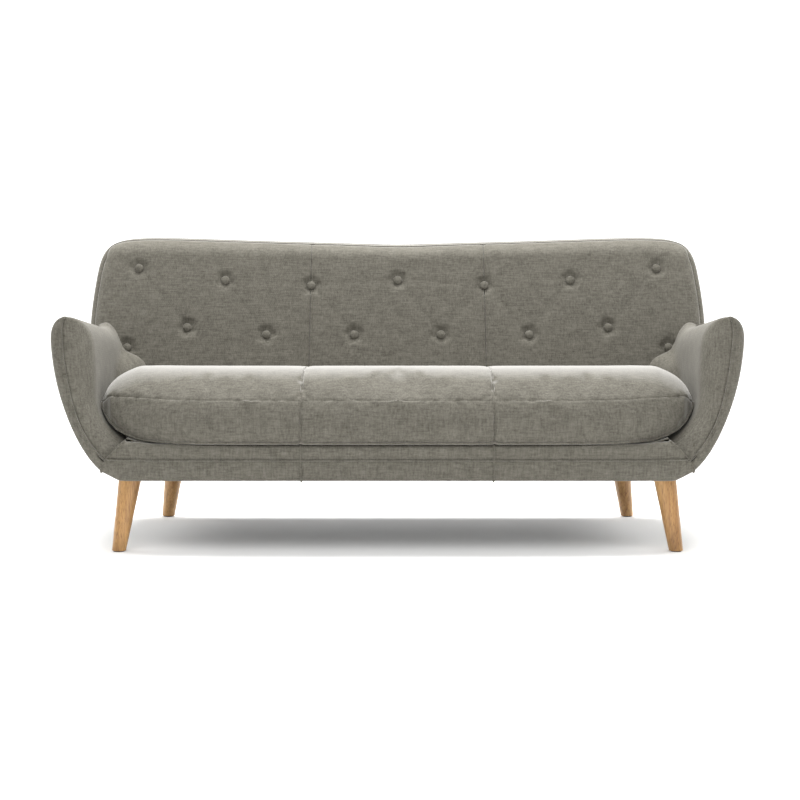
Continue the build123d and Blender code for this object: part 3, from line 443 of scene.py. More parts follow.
# %% Oak
def oak():
    """Turned oak under a clear satin lacquer: long grain up the leg, fine dark pores."""
    material, tree = new_material("lacquered_oak")
    place = node(tree, "TexCoord").outputs["Object"]
    stretched = node(tree, "Mapping", {"Vector": place, "Scale": (1.0, 1.0, 0.09)})
    grain = node(tree, "TexNoise", {"Vector": stretched.outputs[0], "Scale": 95.0, "Detail": 6.0,
                                    "Roughness": 0.6, "Distortion": 0.6})
    pores = node(tree, "TexNoise", {"Vector": stretched.outputs[0], "Scale": 520.0, "Detail": 3.0})
    broad = node(tree, "TexNoise", {"Vector": stretched.outputs[0], "Scale": 24.0, "Detail": 2.0})
    mixed = node(tree, "Math", {0: broad.outputs["Fac"], 1: 0.5, 2: 0.0}, operation="MULTIPLY_ADD")
    tone = node(tree, "Math", {0: grain.outputs["Fac"], 1: 0.5, 2: mixed.outputs[0]},
                operation="MULTIPLY_ADD")
    wood = two_colours(tree, tone.outputs[0], "#8C6436", "#C0945A", 0.36, 0.62)
    dark = two_colours(tree, pores.outputs["Fac"], "#6E4A22", "#FFFFFF", 0.32, 0.48)
    colour = node(tree, "Mix", {"Factor": 0.55, "A": wood, "B": dark}, data_type="RGBA",
                  blend_type="MULTIPLY")
    bump = node(tree, "Bump", {"Height": pores.outputs["Fac"], "Strength": 0.25, "Distance": 0.0004})
    rough = node(tree, "MapRange", {"Value": grain.outputs["Fac"], "To Min": 0.34, "To Max": 0.5})
    shader = node(tree, "BsdfPrincipled", {"Base Color": colour.outputs["Result"],
                                           "Normal": bump.outputs["Normal"],
                                           "Roughness": rough.outputs["Result"]})
    finish_material(tree, shader, Coat_Weight=0.25, Coat_Roughness=0.3)
    return material


OAK = oak()
print("wood:", OAK.name)

# %% [markdown]
# Each hidden finish is one call: a name, two colours, grains per metre and a roughness typical of the
# material. Metals are fully metallic, wood and plywood are stretched along their grain, and felt and
# lining have some sheen. The record's material slots say which finish each ready made piece takes.


# %% Hidden finishes
def plain(name, dark, light, scale, roughness, metallic=0.0, bump=0.3, stretch=(1, 1, 1), sheen=0.0):
    """Two close colours mottled by noise of so many grains per metre, with a matching bump."""
    material, tree = new_material(name)
    place = node(tree, "TexCoord").outputs["Object"]
    mapped = node(tree, "Mapping", {"Vector": place, "Scale": stretch})
    noise = node(tree, "TexNoise", {"Vector": mapped.outputs[0], "Scale": scale, "Detail": 4.0})
    colour = two_colours(tree, noise.outputs["Fac"], dark, light, 0.35, 0.65)
    relief = node(tree, "Bump", {"Height": noise.outputs["Fac"], "Strength": bump, "Distance": 0.0006})
    rough = node(tree, "MapRange", {"Value": noise.outputs["Fac"], "To Min": roughness - 0.08,
                                    "To Max": roughness + 0.08})
    shader = node(tree, "BsdfPrincipled", {"Base Color": colour, "Normal": relief.outputs["Normal"],
                                           "Roughness": rough.outputs["Result"]})
    finish_material(tree, shader, Metallic=metallic, Sheen_Weight=sheen)
    return material


FINISHES = {
    "frame_timber": plain("planed_pine", "#B98F5C", "#DDBE8E", 60, 0.62, stretch=(1, 0.08, 1)),
    "plywood": plain("birch_plywood", "#C3A272", "#E2CBA0", 50, 0.66, stretch=(1, 1, 0.1)),
    "foam": plain("open_cell_foam", "#D8CFAE", "#EFE8CF", 700, 0.95, bump=0.8),
    "deck_lining": plain("woven_lining", "#4C4A45", "#6A675F", 600, 0.9, bump=0.6, sheen=0.2),
    "dust_cloth": plain("spunbonded_dust_cloth", "#141414", "#2A2A2A", 420, 0.92, bump=0.6),
    "elastic_webbing": plain("elastic_webbing", "#4A3F34", "#75685A", 480, 0.85, stretch=(1, 1, 0.3)),
    "twine": plain("waxed_twine", "#A2957C", "#CFC4AC", 900, 0.7),
    "spring_steel": plain("oil_tempered_wire", "#3A3A3C", "#5B5B5E", 300, 0.38, metallic=1.0),
    "zinc_plated_steel": plain("bright_zinc_plate", "#9A9CA0", "#C3C6CA", 220, 0.32, metallic=1.0),
    "nylon": plain("moulded_nylon", "#3E3C39", "#55524E", 260, 0.5),
    "zip_metal": plain("dark_nickel_plate", "#5C5A56", "#7D7A75", 260, 0.3, metallic=1.0),
    "felt": plain("pressed_felt", "#4A4038", "#6B5F54", 700, 0.97, bump=0.9, sheen=0.3),
    "oak": OAK,
    "upholstery_chenille": CHENILLE,
}
for part in frame["record"]["subparts"]:
    shown = frame["nodes"][part["node"]]
    shown.data.materials.clear()
    shown.data.materials.append(FINISHES[part["material_slot"]])
print(len(FINISHES), "finishes on", len(frame["nodes"]), "nodes")

# %% [markdown]
# Every piece made below is dressed the same way: it gets its cloth, rides on its body, and the solids
# of the frame that it stands for are hidden.

# %% Dressing a piece
def dress(piece, body="sofa", covers=(), cloth=CHENILLE):
    """Gives a piece its cloth, puts it on its body and hides the nodes it stands for."""
    piece.data.materials.append(cloth)
    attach(piece, body)
    if covers:
        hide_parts(*covers)
    return piece


# %% [markdown]
# ## Arms
# Each arm is wrapped by two panels. The outer panel comes forward from the back, turns round the front
# edge and is sewn to the front panel along a seam 30 mm in from the edge. The front panel then runs
# across the face of the arm and rolls over, with a larger radius and no seam, into the inside of the
# arm. Both panels meet on the crest. The wrap is one path across the arm, carried up the arm from the
# corner of the base to the nose: outside, round edge, face, round edge, inside.

# %% Arms
OUTER_RADIUS, INNER_RADIUS, SEAM_IN, NOSE_RADIUS = 0.033, 0.084, 0.033, 0.032
ROLL_STRETCH = 1.7
FACE_BULGE, LAP, SWING, REAR_SLACK = 0.005, 0.050, 0.150, 0.012
SPLINE_POINTS, SEAM_POINTS = 2000, 400
outer_line = batten(ARM_OUTER, SPLINE_POINTS)
inner_line = batten(ARM_INNER, SPLINE_POINTS)
back_line = batten(ARM_AT_BACK, SPLINE_POINTS)
up_arm = graded(0, 1, 0.010, marks=(0,), fine=0.003, reach=0.03)
NOSE_REACH = float(np.linalg.norm(np.diff(inner_line, axis=0), axis=1).sum())
outside, inside, at_back = even(outer_line, up_arm), even(inner_line, up_arm), even(back_line, up_arm)
seam_path = batten(SEAM_END, SEAM_POINTS)
chord = np.linspace(0, 1, SEAM_POINTS)[:, None] * (seam_path[-1] - seam_path[0])
seam_offset = seam_path - seam_path[0] - chord
print("inner line of the arm:", round(NOSE_REACH, 3), "m long,", len(up_arm), "rows")

# %% [markdown]
# The path across the arm is measured in cloth, so the cells of the grid stay square round the edges.
# At each height its ends are a point of the outer and a point of the inner line. The lowest rows bow
# with the curved seam to the base, and the highest fall back round the nose.


# %% Arm wrap
def seam_bow(share):
    """Bow of the lowest rows, so that they follow the curved seam to the base: the seam's offset from
    its chord, faded out over the lowest 22 % of the arm."""
    fade = (1 - smooth(up_arm / 0.22))[:, None]
    pick = np.clip(share, 0, 1) * (SEAM_POINTS - 1)
    points = np.arange(SEAM_POINTS)
    return np.stack([np.interp(pick, points, seam_offset[:, k]) * fade for k in (0, 1)], axis=-1)


def arm_wrap(distances):
    """Points of the wrap at distances measured across it, negative before the seam on the face.
    Each row is one height up the arm. The path is straight back along the outside, a quarter circle
    of OUTER_RADIUS, a face that bulges by 5 mm, a quarter ellipse of INNER_RADIUS and straight back.
    Over its last 150 mm the inside swings in to meet the back along the curve of their seam, and the
    outside laps 50 mm past the face of the back and lies flush with its side."""
    span = inside - outside
    width = np.linalg.norm(span, axis=1)[:, None]
    r_out = np.minimum(OUTER_RADIUS, width * 0.30)
    r_in = np.minimum(INNER_RADIUS, width * 0.66)
    flat = width - r_out - r_in
    seam = np.minimum(SEAM_IN, r_out + flat * 0.5)
    quarter = math.pi / 2
    s = distances[None, :] + seam + r_out * (quarter - 1)
    out_end, face_end = r_out * quarter, r_out * quarter + flat
    in_end = face_end + r_in * quarter
    a = np.clip(s / np.maximum(r_out, 1e-6), 0, quarter)
    b = np.clip((s - face_end) / np.maximum(r_in, 1e-6), 0, quarter)
    across = r_out * (1 - np.cos(a)) + np.clip(s - out_end, 0, flat) + r_in * np.sin(b)
    to_crest = (1 - up_arm[:, None]) * NOSE_REACH
    nose = NOSE_RADIUS * (1 - np.sqrt(1 - np.clip(1 - to_crest / NOSE_RADIUS, 0, 1) ** 2))
    y = ARM_FRONT + nose + r_out * (1 - np.sin(a)) + r_in * ROLL_STRETCH * (1 - np.cos(b))
    y = y + np.clip(-s, 0, None) + np.clip(s - in_end, 0, None)
    y = y - FACE_BULGE * np.sin(np.clip((s - out_end) / np.maximum(flat, 1e-6), 0, 1) * math.pi)
    share = across / np.maximum(width, 1e-6)
    bow = seam_bow(share)
    x = outside[:, :1] + span[:, :1] * share + bow[..., 0]
    z = outside[:, 1:] + span[:, 1:] * share + bow[..., 1]
    rear = back_y(dipped(z, 0.12)) + REAR_SLACK
    y = np.minimum(y, rear + LAP * (share < 0.02))
    x, z = tucked(x, y), dipped(z, y)
    table = np.array(SIDE)
    flush = np.clip((y - rear) / LAP, 0, 1) ** 2
    x = x + (np.interp(z, table[:, 1], table[:, 0]) + 0.0015 - x) * flush
    near = np.clip((y - rear + SWING + 0.015) / SWING, 0, 1) ** 2.2 * np.clip((share - 0.6) / 0.4, 0, 1)
    return np.stack([x + (at_back[:, :1] - x) * near, y, z + (at_back[:, 1:] - z) * near], axis=2)


outer_cloth = arm_wrap(graded(-0.62, 0, 0.012, marks=(0, -0.022), fine=0.0015, reach=0.03))
inner_cloth = arm_wrap(graded(0, 0.72, 0.012, marks=(0, 0.045, 0.085), fine=0.0015, reach=0.03))
print("arm panels:", outer_cloth.shape, inner_cloth.shape)

# %% [markdown]
# Each wrap is cut along the seam on the face, its edges are rolled in, and the seam runs out near the
# nose. A strip closes the arm underneath, and a narrow ledge joins the arm to the deck under the
# cushion. The left arm is the right one mirrored, with its rows reversed so that it still faces out.

# %% Arm pieces
run_out = smooth((1 - up_arm[:, None]) / 0.08)
turn_x = np.array(BOTTOM_TURN)
under_y = graded(BASE_FRONT + 0.048, REAR - 0.045, 0.015)
under = flat_grid(tucked(turn_x[:, :1], under_y), under_y, FLOOR_GAP + turn_x[:, 1:])
strip_x = np.array([[0.680], [0.700], [0.720], [0.745]])
strip_z = DECK + np.array([[-0.002], [0.002], [0.006], [0.013]])
strip_y = graded(BASE_FRONT + 0.020, BACK_FOOT + 0.030, 0.015)
ledge = flat_grid(tucked(strip_x, strip_y), strip_y, strip_z)
for side, turn in (("right", lambda g: g), ("left", other_side)):
    outer_cut = rolled(rolled(outer_cloth, ("right",), 0.007, 0.005, run_out), ("top",), 0.003, 0.003)
    inner_cut = rolled(stitched(inner_cloth, "left", 0.010, 0.0025), ("left",), 0.007, 0.005, run_out)
    outer = panel(f"arm_outer_{side}", turn(outer_cut))
    inner = panel(f"arm_inner_{side}", turn(rolled(inner_cut, ("top",), 0.003, 0.003)))
    dress(outer, covers=(f"arm_outer_cover_{side}", f"arm_foam_{side}"))
    # The inside and front of the arm take the shaded copy of the cloth, with less painted sheen, so they read
    # darker.
    dress(inner, covers=(f"arm_inner_cover_{side}",), cloth=CHENILLE_PAINTED_SHADE)
    dress(panel(f"arm_under_{side}", turn(under)))
    dress(panel(f"seat_ledge_{side}", turn(ledge[::-1])))
print("arm pieces: 4 a side, underside", under.shape, "ledge", ledge.shape)

# %% [markdown]
# ## Front of the base
# Two bands run along the base, the upper one a little fuller. Each is sewn from three lengths, with
# upright seams that line up with those of the cushion. At the ends both bands follow the curved seam
# to the arm. A band is a path from under the base, round its edge and up, carried along the front.

# %% Base
BASE_SEAM = FLOOR_GAP + 0.059
EDGE = 0.012
SWELL, CORNER_PULL, CORNER_LIFT = 0.003, 0.026, 0.006


def bottom_rise(x):
    """How much higher than the underside the bottom edge of the cloth is at x, read from a table."""
    turn = np.array(BOTTOM_TURN)
    return np.interp(np.abs(x), turn[:, 0], turn[:, 1])


def base_path():
    """Cross-section of the base front as (y, z): a line under the base, a quarter circle of EDGE,
    the upright face, another quarter circle and a line over to the deck."""
    turn = np.linspace(0, math.pi / 2, 9)
    low = np.stack([BASE_FRONT + EDGE - EDGE * np.sin(turn), FLOOR_GAP + EDGE - EDGE * np.cos(turn)], axis=1)
    high = np.stack([BASE_FRONT + EDGE - EDGE * np.cos(turn), DECK - EDGE + EDGE * np.sin(turn)], axis=1)
    under = [(BASE_FRONT + 0.050, FLOOR_GAP)]
    over = [(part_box("deck_cloth")[0].y + 0.004, DECK)]
    return np.concatenate([under, low, high, over])


def base_band(z_low, z_high, x_low, x_high):
    """One length of a band. x is squeezed towards the curved seam near the ends, the face swells by a
    half sine of its height, and the lower corner is pulled back to meet the rounded arm."""
    path = even(base_path(), 400)
    keep = path[(path[:, 1] >= z_low - 1e-9) & (path[:, 1] <= z_high + 1e-9)]
    path = even(keep, graded(0, 1, 0.10, marks=(0, 1), fine=0.02, reach=0.2))
    x = graded(x_low, x_high, 0.012, marks=(x_low, x_high), fine=0.0015, reach=0.03)
    seam = np.array(SEAM_END)
    end = np.interp(path[:, 1], seam[:, 1], seam[:, 0])
    far = max(-x_low, x_high)
    reach = end[None, :] / far if far > SEAM_X else np.ones((1, len(path)))
    share = np.clip((np.abs(x) - SEAM_X) / (max(far, 0.5) - SEAM_X), 0, 1)[:, None]
    xx = x[:, None] * (1 + (reach - 1) * share)
    y, z = path[:, 0], path[:, 1]
    swell = SWELL * np.sin(np.clip((z - z_low) / (z_high - z_low), 0, 1) * math.pi)
    share_up = np.clip((z - FLOOR_GAP) / (DECK - FLOOR_GAP), 0, 1)
    pull = smooth((np.abs(xx) - 0.750) / 0.056) * (1 - share_up) ** 2
    lift = CORNER_LIFT * smooth((np.abs(xx) - 0.660) / 0.076) * share_up**2
    raised = z + bottom_rise(xx) * (1 - share_up) ** 2 + lift
    return flat_grid(xx, y - swell + CORNER_PULL * pull, raised)


print("section of the base front:", base_path().shape[0], "points, seam at", round(BASE_SEAM, 4))

# %% [markdown]
# The six lengths are cut from the same section. Only the edges that are sewn are rolled in: the top
# and bottom of each length are its upright seams, and left or right is the seam between the bands.


# %% Base bands
spans = ((-CORNER_X, -SEAM_X, "left"), (-SEAM_X, SEAM_X, "middle"), (SEAM_X, CORNER_X, "right"))
for x_low, x_high, where in spans:
    for z_low, z_high, level in ((FLOOR_GAP, BASE_SEAM, "lower"), (BASE_SEAM, DECK, "upper")):
        sewn = ("top", "bottom", "right") if level == "lower" else ("top", "bottom", "left")
        cloth = rolled(base_band(z_low, z_high, x_low, x_high)[::-1], sewn, 0.005, 0.005)
        covers = (f"base_{level}_cover",) if where == "middle" else ()
        if where == "middle" and level == "upper":
            covers += ("front_border_foam",)
        dress(panel(f"base_{level}_{where}", cloth[::-1]), covers=covers)
        print("base band", level, where, cloth.shape)

# %% [markdown]
# ## Back
# The inside back is one wide panel, joined to a narrow border that runs up the sides and over the top.
# It is padded, and fifteen buttons pull it in. Around each button the cloth falls away in a small
# hollow, and slack gathers into short creases that run from button to button. Two upright seams
# divide the panel into thirds. All of that is height over a plane, so it is one formula of the place
# on the panel. The rim bends back to meet the border.

# %% Outline of the back
CREST = [(0.790, 0.8545), (0.726, 0.8558), (0.600, 0.853), (0.360, 0.8452), (0.115, 0.8385),
         (0.0, TOP - 0.020)]
right_edge = np.array(SIDE + CREST)
RIM_POINTS = 2400
rim = batten(np.concatenate([right_edge, (right_edge * [-1, 1])[-2::-1]]), RIM_POINTS)[::-1]
print("rim of the back:", round(float(np.linalg.norm(np.diff(rim, axis=0), axis=1).sum()), 3), "m")


def topness(z):
    """0 on the sides of the back, rising smoothly to 1 along its top."""
    return smooth((z - 0.800) / 0.045)


def rim_inset(line, inset, top_share=1.0):
    """Line moved inward along its own flat normal by the inset, or by a share of it along the top:
    the normal of a step (a, b) is (b, -a)."""
    step = np.gradient(line, axis=0)
    step /= np.linalg.norm(step, axis=1)[:, None]
    amount = inset * (1 + (top_share - 1) * topness(line[:, 1]))
    return line + np.stack([step[:, 1], -step[:, 0]], axis=1) * amount[:, None]


def on_back(x, z, depth):
    """Point at x and z, a depth behind the plane of the inside back."""
    return np.stack([x, back_y(z) + depth / math.cos(RAKE), z], axis=-1)


# %% [markdown]
# The buttons stand in two rows, eight pairs and one on the middle line. Their depth comes from the
# cloth being pulled against the foam, so it is a smooth funnel with five small gathers, and a soft
# crease runs from each button to its neighbours in the other row.

# %% Tufting
BUTTONS = [(x, DECK + up) for x, up in (
    (0.0, 0.432), (0.261, 0.417), (0.520, 0.432), (0.781, 0.468),
    (0.130, 0.271), (0.394, 0.271), (0.631, 0.292), (0.810, 0.233))]
BUTTONS += [(-x, z) for x, z in BUTTONS if x > 0]
TUFT, PADDING, SEAT_RADIUS, FUNNEL = 0.0050, 0.003, 0.0125, 0.030
GATHER, GATHER_RADIUS, GATHER_WIDTH = 0.0010, 0.024, 0.010
CREASES = [(0, 8), (0, 4), (1, 4), (1, 5), (2, 5), (2, 6), (3, 6), (3, 7)]


def tuft_height(x, z):
    """Height of the padding: -TUFT on the flat seat of a button, rising smoothly over the FUNNEL,
    plus GATHER * cos(5 * angle) round each button, less GATHER * exp(-(distance / width)^2) beside
    each line from button to button."""
    up = (z - DECK) / math.cos(RAKE)
    height = np.full(x.shape, PADDING)
    places = [(bx, (bz - DECK) / math.cos(RAKE)) for bx, bz in BUTTONS]
    for bx, bu in places:
        d = np.hypot(x - bx, up - bu)
        angle = np.arctan2(up - bu, x - bx)
        height -= (TUFT + PADDING) * (1 - smooth((d - SEAT_RADIUS) / FUNNEL)) ** 2
        fold = np.exp(-(((d - GATHER_RADIUS) / GATHER_WIDTH) ** 2))
        height += np.cos(angle * 5 + bx * 40) * GATHER * fold
    for first, second in CREASES:
        for side in (-1, 1):
            a = np.array([side * places[first][0], places[first][1]])
            b = np.array([side * places[second][0], places[second][1]])
            along_line = b - a
            length = np.hypot(*along_line)
            t = ((x - a[0]) * along_line[0] + (up - a[1]) * along_line[1]) / length**2
            off = ((x - a[0]) * along_line[1] - (up - a[1]) * along_line[0]) / length
            inside_line = np.clip(np.minimum(t, 1 - t) / 0.1, 0, 1) * (np.abs(t - 0.5) < 0.5)
            height -= GATHER * inside_line * np.exp(-((off / GATHER_WIDTH) ** 2))
    return height


print(len(BUTTONS), "buttons,", 2 * len(CREASES), "creases")

# %% [markdown]
# The panel is made of straight lines from the foot of the back to its rim, so its grid follows the
# outline with no trimming. Near the rim the surface bends back, more softly along the top than at the
# sides, because there the padding is thicker. The distance to the rim is taken square to it: the
# length left on the line times the sine of the angle between line and rim.

# %% Inside back
TOP_SHARE = 0.08
BEND_WIDTH, BEND_DEPTH, TOP_WIDER, TOP_DEEPER = 0.040, 0.022, 0.010, 0.010
SHOULDER, FOOT_HALF, FOOT_SEAM, RIM_SEAM = 0.140, 0.885, 0.2665, 0.2605
whole_rim = rim_inset(rim, 0.015, TOP_SHARE)
rim_middle = slice(RIM_POINTS // 3, 2 * RIM_POINTS // 3)
share_of = np.linspace(0, 1, RIM_POINTS)[rim_middle]
seam_shares = np.interp((-RIM_SEAM, RIM_SEAM), whole_rim[rim_middle, 0], share_of)


def back_panel(x_low, x_high, s_low, s_high, columns):
    """Third of the inside back: straight lines from the foot of the back to its rim. Near the rim it
    bends back by a quarter ellipse, depth * (1 - sqrt(1 - (1 - away / width)^2))."""
    across = graded(0, 1, 1 / columns, marks=(0, 1), fine=0.15 / columns, reach=6 / columns)
    last = RIM_POINTS - 1
    top = even(whole_rim[int(s_low * last) : int(s_high * last) + 1], across)
    foot = np.stack([x_low + (x_high - x_low) * across, np.full(len(across), DECK + 0.020)], axis=1)
    rise = graded(0, 1, 0.0065, marks=(1,), fine=0.0015, reach=0.05)
    flat = foot[:, None] + rise[None, :, None] * (top - foot)[:, None]
    line, way = top - foot, np.gradient(top, axis=0)
    slant = np.abs(line[:, 0] * way[:, 1] - line[:, 1] * way[:, 0]) / np.linalg.norm(way, axis=1)
    away = (1 - rise)[None, :] * slant[:, None]
    top_part = topness(flat[..., 1])
    turn = np.clip(1 - away / (BEND_WIDTH + TOP_WIDER * top_part), 0, 1)
    bend = (BEND_DEPTH + TOP_DEEPER * top_part) * (1 - np.sqrt(1 - turn**2))
    lift = tuft_height(flat[..., 0], flat[..., 1]) * smooth(away / 0.020)
    return on_back(flat[..., 0], flat[..., 1], bend - lift)


thirds = (
    ("left", -FOOT_HALF, -FOOT_SEAM, SHOULDER, seam_shares[0], ("bottom",)),
    ("middle", -FOOT_SEAM, FOOT_SEAM, seam_shares[0], seam_shares[1], ("top", "bottom")),
    ("right", FOOT_SEAM, FOOT_HALF, seam_shares[1], 1 - SHOULDER, ("top",)))
for name, x_low, x_high, s_low, s_high, sewn in thirds:
    cloth = back_panel(x_low, x_high, s_low, s_high, 165)
    for edge in sewn:
        cloth = stitched(cloth, edge, 0.006, 0.0012)
    rim_fade = 1 - 0.9 * topness(cloth[..., 2])
    cloth = rolled(rolled(cloth, sewn, 0.004, 0.004), ("right",), 0.004, 0.002, rim_fade)
    covers = ("inside_back_cover", "back_foam") if name == "middle" else ()
    dress(panel(f"inside_back_{name}", cloth), covers=covers)
    print("inside back", name, cloth.shape)

# %% [markdown]
# The border leaves the seam round the inside back, rounds over the silhouette and runs back along the
# top and the sides. The outside back starts there, rounds the rear edge and closes the back.

# %% Border
around = np.linspace(0, 1, 620)
quarter = np.linspace(0, math.pi / 2, 8)
WELT, SEAM_DEPTH, WELT_ROUND, BORDER_END = 0.0150, 0.024, 0.026, 0.104


def back_wrap(steps, top_share=1.0):
    """Strip round the back. Each step is an inset from the rim and a function that gives y at z."""
    rows = []
    for inset, place in steps:
        line = even(rim_inset(rim, inset, top_share), around)
        rows.append(np.stack([line[:, 0], place(line[:, 1]), line[:, 1]], axis=1))
    return np.stack(rows, axis=1)


def behind(depth, more_at_top=0.0):
    """y at z, a depth behind the face of the back, with more of it along the top."""
    return lambda z: back_y(z, depth + more_at_top * topness(z))


border_steps = [(0.021, behind(0.034, 0.010)), (0.0165, behind(0.027, 0.009))]
border_steps += [(WELT * (1 - math.sin(a)), behind(SEAM_DEPTH + WELT_ROUND * (1 - math.cos(a)), 0.008))
                 for a in quarter]
border_steps += [(0.0, behind(depth)) for depth in (0.065, 0.080, 0.092, 0.097, 0.099)]
border = back_wrap(border_steps, TOP_SHARE)
border_cloth = rolled(border[:, ::-1], ("left",), 0.003, 0.003)
dress(panel("back_border", border_cloth), covers=("back_border_cover",))
print("border:", border.shape)

# %% [markdown]
# The outside back is stretched over the frame from the border's rear seam. It first runs straight back
# along the sides and the top, then rounds the rear edge with a radius of 25 mm. A flat panel inside a
# last seam closes it.

# %% Outside back
REAR_ROUND = 0.025


def towards_rear(share):
    """y at z, a share of the way from the border's end to where the rear edge starts to round."""
    start = behind(BORDER_END)
    return lambda z: start(z) + share * (np.maximum(rear_y(z) - REAR_ROUND, back_y(z, 0.106)) - start(z))


def round_rear(a):
    """y at z on a quarter circle of REAR_ROUND that ends on the rear face."""
    return lambda z: np.maximum(rear_y(z) - REAR_ROUND + REAR_ROUND * math.sin(a), back_y(z, 0.107))


outer_steps = [(0.0, behind(0.101)), (0.0, behind(BORDER_END))]
outer_steps += [(0.0, towards_rear(share)) for share in (0.1, 0.25, 0.5, 0.75, 1.0)]
outer_steps += [(REAR_ROUND * (1 - math.cos(a)), round_rear(a)) for a in quarter[1:]]
outer_steps += [(0.027, rear_y), (0.030, lambda z: rear_y(z) - 0.001), (0.031, lambda z: rear_y(z) - 0.004)]
wrap = back_wrap(outer_steps)
dress(panel("outside_back_wrap", rolled(wrap[:, ::-1], ("right",), 0.003, 0.003)))

edge = even(rim_inset(rim, 0.032), np.linspace(0, 1, 300))
foot = np.stack([np.linspace(-0.76, 0.76, 300), np.full(300, FLOOR_GAP + 0.001)], axis=1)
rise = np.linspace(0, 1, 60)
flat_rear = foot[:, None] + rise[None, :, None] * (edge - foot)[:, None]
rear_panel = flat_grid(flat_rear[..., 0], rear_y(flat_rear[..., 1]) - 0.001, flat_rear[..., 1])
rear_cloth = rolled(rear_panel[::-1], ("right",), 0.004, 0.004)
dress(panel("outside_back_panel", rear_cloth), covers=("outside_back_cover",))
print("outside back:", wrap.shape, rear_panel.shape)

# %% [markdown]
# ## Buttons
# A covered button is a shallow dome of cloth gathered over a metal shell. The dome is a quarter of an
# ellipse turned about its axis, with its edge tucked under.

# %% Buttons
SUNK = 0.0034


def button_grid(radius=0.0132, height=0.0062, rings=10, spokes=28):
    """Dome: distance from the axis radius * sin(t) and height * cos(t), with t running half a radian
    past the edge so that the cloth tucks under."""
    t = np.linspace(0.0, math.pi / 2 + 0.5, rings)[:, None]
    turn = np.linspace(0, 2 * math.pi, spokes, endpoint=False)[None, :]
    r = radius * np.sin(t) * np.ones_like(turn)
    h = height * np.cos(t) * np.ones_like(turn)
    return np.stack([r * np.cos(turn), r * np.sin(turn), h], axis=2)


dome = button_grid()
rings, spokes = dome.shape[:2]
up_face = np.array([0, math.sin(RAKE), math.cos(RAKE)])
out_face = np.array([0, -math.cos(RAKE), math.sin(RAKE)])
turned = dome[..., :1] * np.array([1.0, 0, 0]) + dome[..., 1:2] * up_face + dome[..., 2:] * out_face
verts, faces = [], []
for bx, bz in BUTTONS:
    seat = np.array([bx, back_y(bz) + SUNK * math.cos(RAKE), bz - SUNK * math.sin(RAKE)])
    start = len(verts)
    points = (turned + seat).reshape(-1, 3)
    verts += points.tolist()
    faces += (grid_faces(rings, spokes, wrap=True) + start).tolist()
    faces.append([start + (rings - 1) * spokes + k for k in range(spokes)][::-1])
buttons = add_object("back_buttons_covered", verts, faces)
merge = buttons.modifiers.new("pole", "WELD")
merge.merge_threshold = 0.00002
dress(buttons, covers=("back_buttons",))
print(len(BUTTONS), "buttons")

# %% [markdown]
# ## Seat cushion
# The cushion is a bag of three top panels, a front boxing and a plain underside, filled by a foam
# core. Its cross-section changes along its length: at the ends the underside curves up to meet the
# top. The bag is built as one closed grid, section by section. Then cloth simulation blows it up with
# a little pressure while its seams are held, so each panel crowns between its own seams and slack
# gathers along them, as on a real cushion.

# %% Seat cushion outline
END_LOW = [(0.0, 0.0), (0.60, 0.0), (0.688, 0.004), (0.716, 0.0085), (0.745, 0.018), (0.776, 0.0325),
           (0.800, 0.052), (0.816, 0.073), (0.827, 0.090), (0.832, 0.1010)]
END_HIGH = [(0.0, 0.1975), (0.40, 0.1975), (0.681, 0.1970), (0.708, 0.1960), (0.736, 0.1955), (0.763, 0.1845),
            (0.791, 0.1705), (0.812, 0.1500), (0.823, 0.1330), (0.829, 0.1180), (0.832, 0.1060)]
FRONT_PLAN = [(0.0, 0.024), (0.40, 0.025), (0.54, 0.031), (0.60, 0.037), (0.65, 0.046), (0.70, 0.059),
              (0.74, 0.074), (0.77, 0.089), (0.80, 0.110), (0.82, 0.132), (0.832, 0.155)]
REAR_PLAN = [(0.0, 0.0), (0.64, 0.0), (0.69, 0.006), (0.73, 0.024), (0.77, 0.062), (0.80, 0.110),
             (0.832, 0.190)]
CREST_RUN, CREST_SHARE, REAR_DROP, FRONT_LEAN, FRONT_BELLY = 0.175, 0.55, 0.030, 0.010, 0.013
BOXING_ROWS, TOP_ROWS, REAR_ROWS, UNDER_ROWS = 15, 34, 12, 22


def along(table, x):
    """Value at x, read from a table by half-width."""
    t = np.array(table)
    return np.interp(np.abs(x), t[:, 0], t[:, 1])


def front_seam_height(x, low, high):
    """Height of the seam above the front boxing: nearly level, and at the ends half way up."""
    level = DECK + 0.1205 + 0.005 * smooth((abs(x) - 0.55) / 0.2)
    return min(level, low + (0.84 - 0.34 * smooth((abs(x) - 0.79) / 0.035)) * (high - low))


def cushion_top(front, seam, high, rear, full):
    """Top panel as (y, z): it rises from the front seam to the crest as 1 - (1 - t)^2.2, then falls
    slowly to the rear lip."""
    run = np.linspace(0, 1, TOP_ROWS) ** 1.35
    first = np.clip(run / CREST_SHARE, 0, 1)
    second = np.clip((run - CREST_SHARE) / (1 - CREST_SHARE), 0, 1)
    crest_y = min(front + CREST_RUN, (front + rear) / 2)
    lip_y = max(min(rear + 0.055 * full, back_y(high - REAR_DROP * full) - 0.010), rear - 0.02)
    y = np.where(run <= CREST_SHARE, front + (crest_y - front) * first, crest_y + (lip_y - crest_y) * second)
    z = np.where(run <= CREST_SHARE, seam + (high - seam) * (1 - (1 - first) ** 2.2),
                 high - REAR_DROP * full * second**1.3)
    return np.stack([y, z], axis=1)


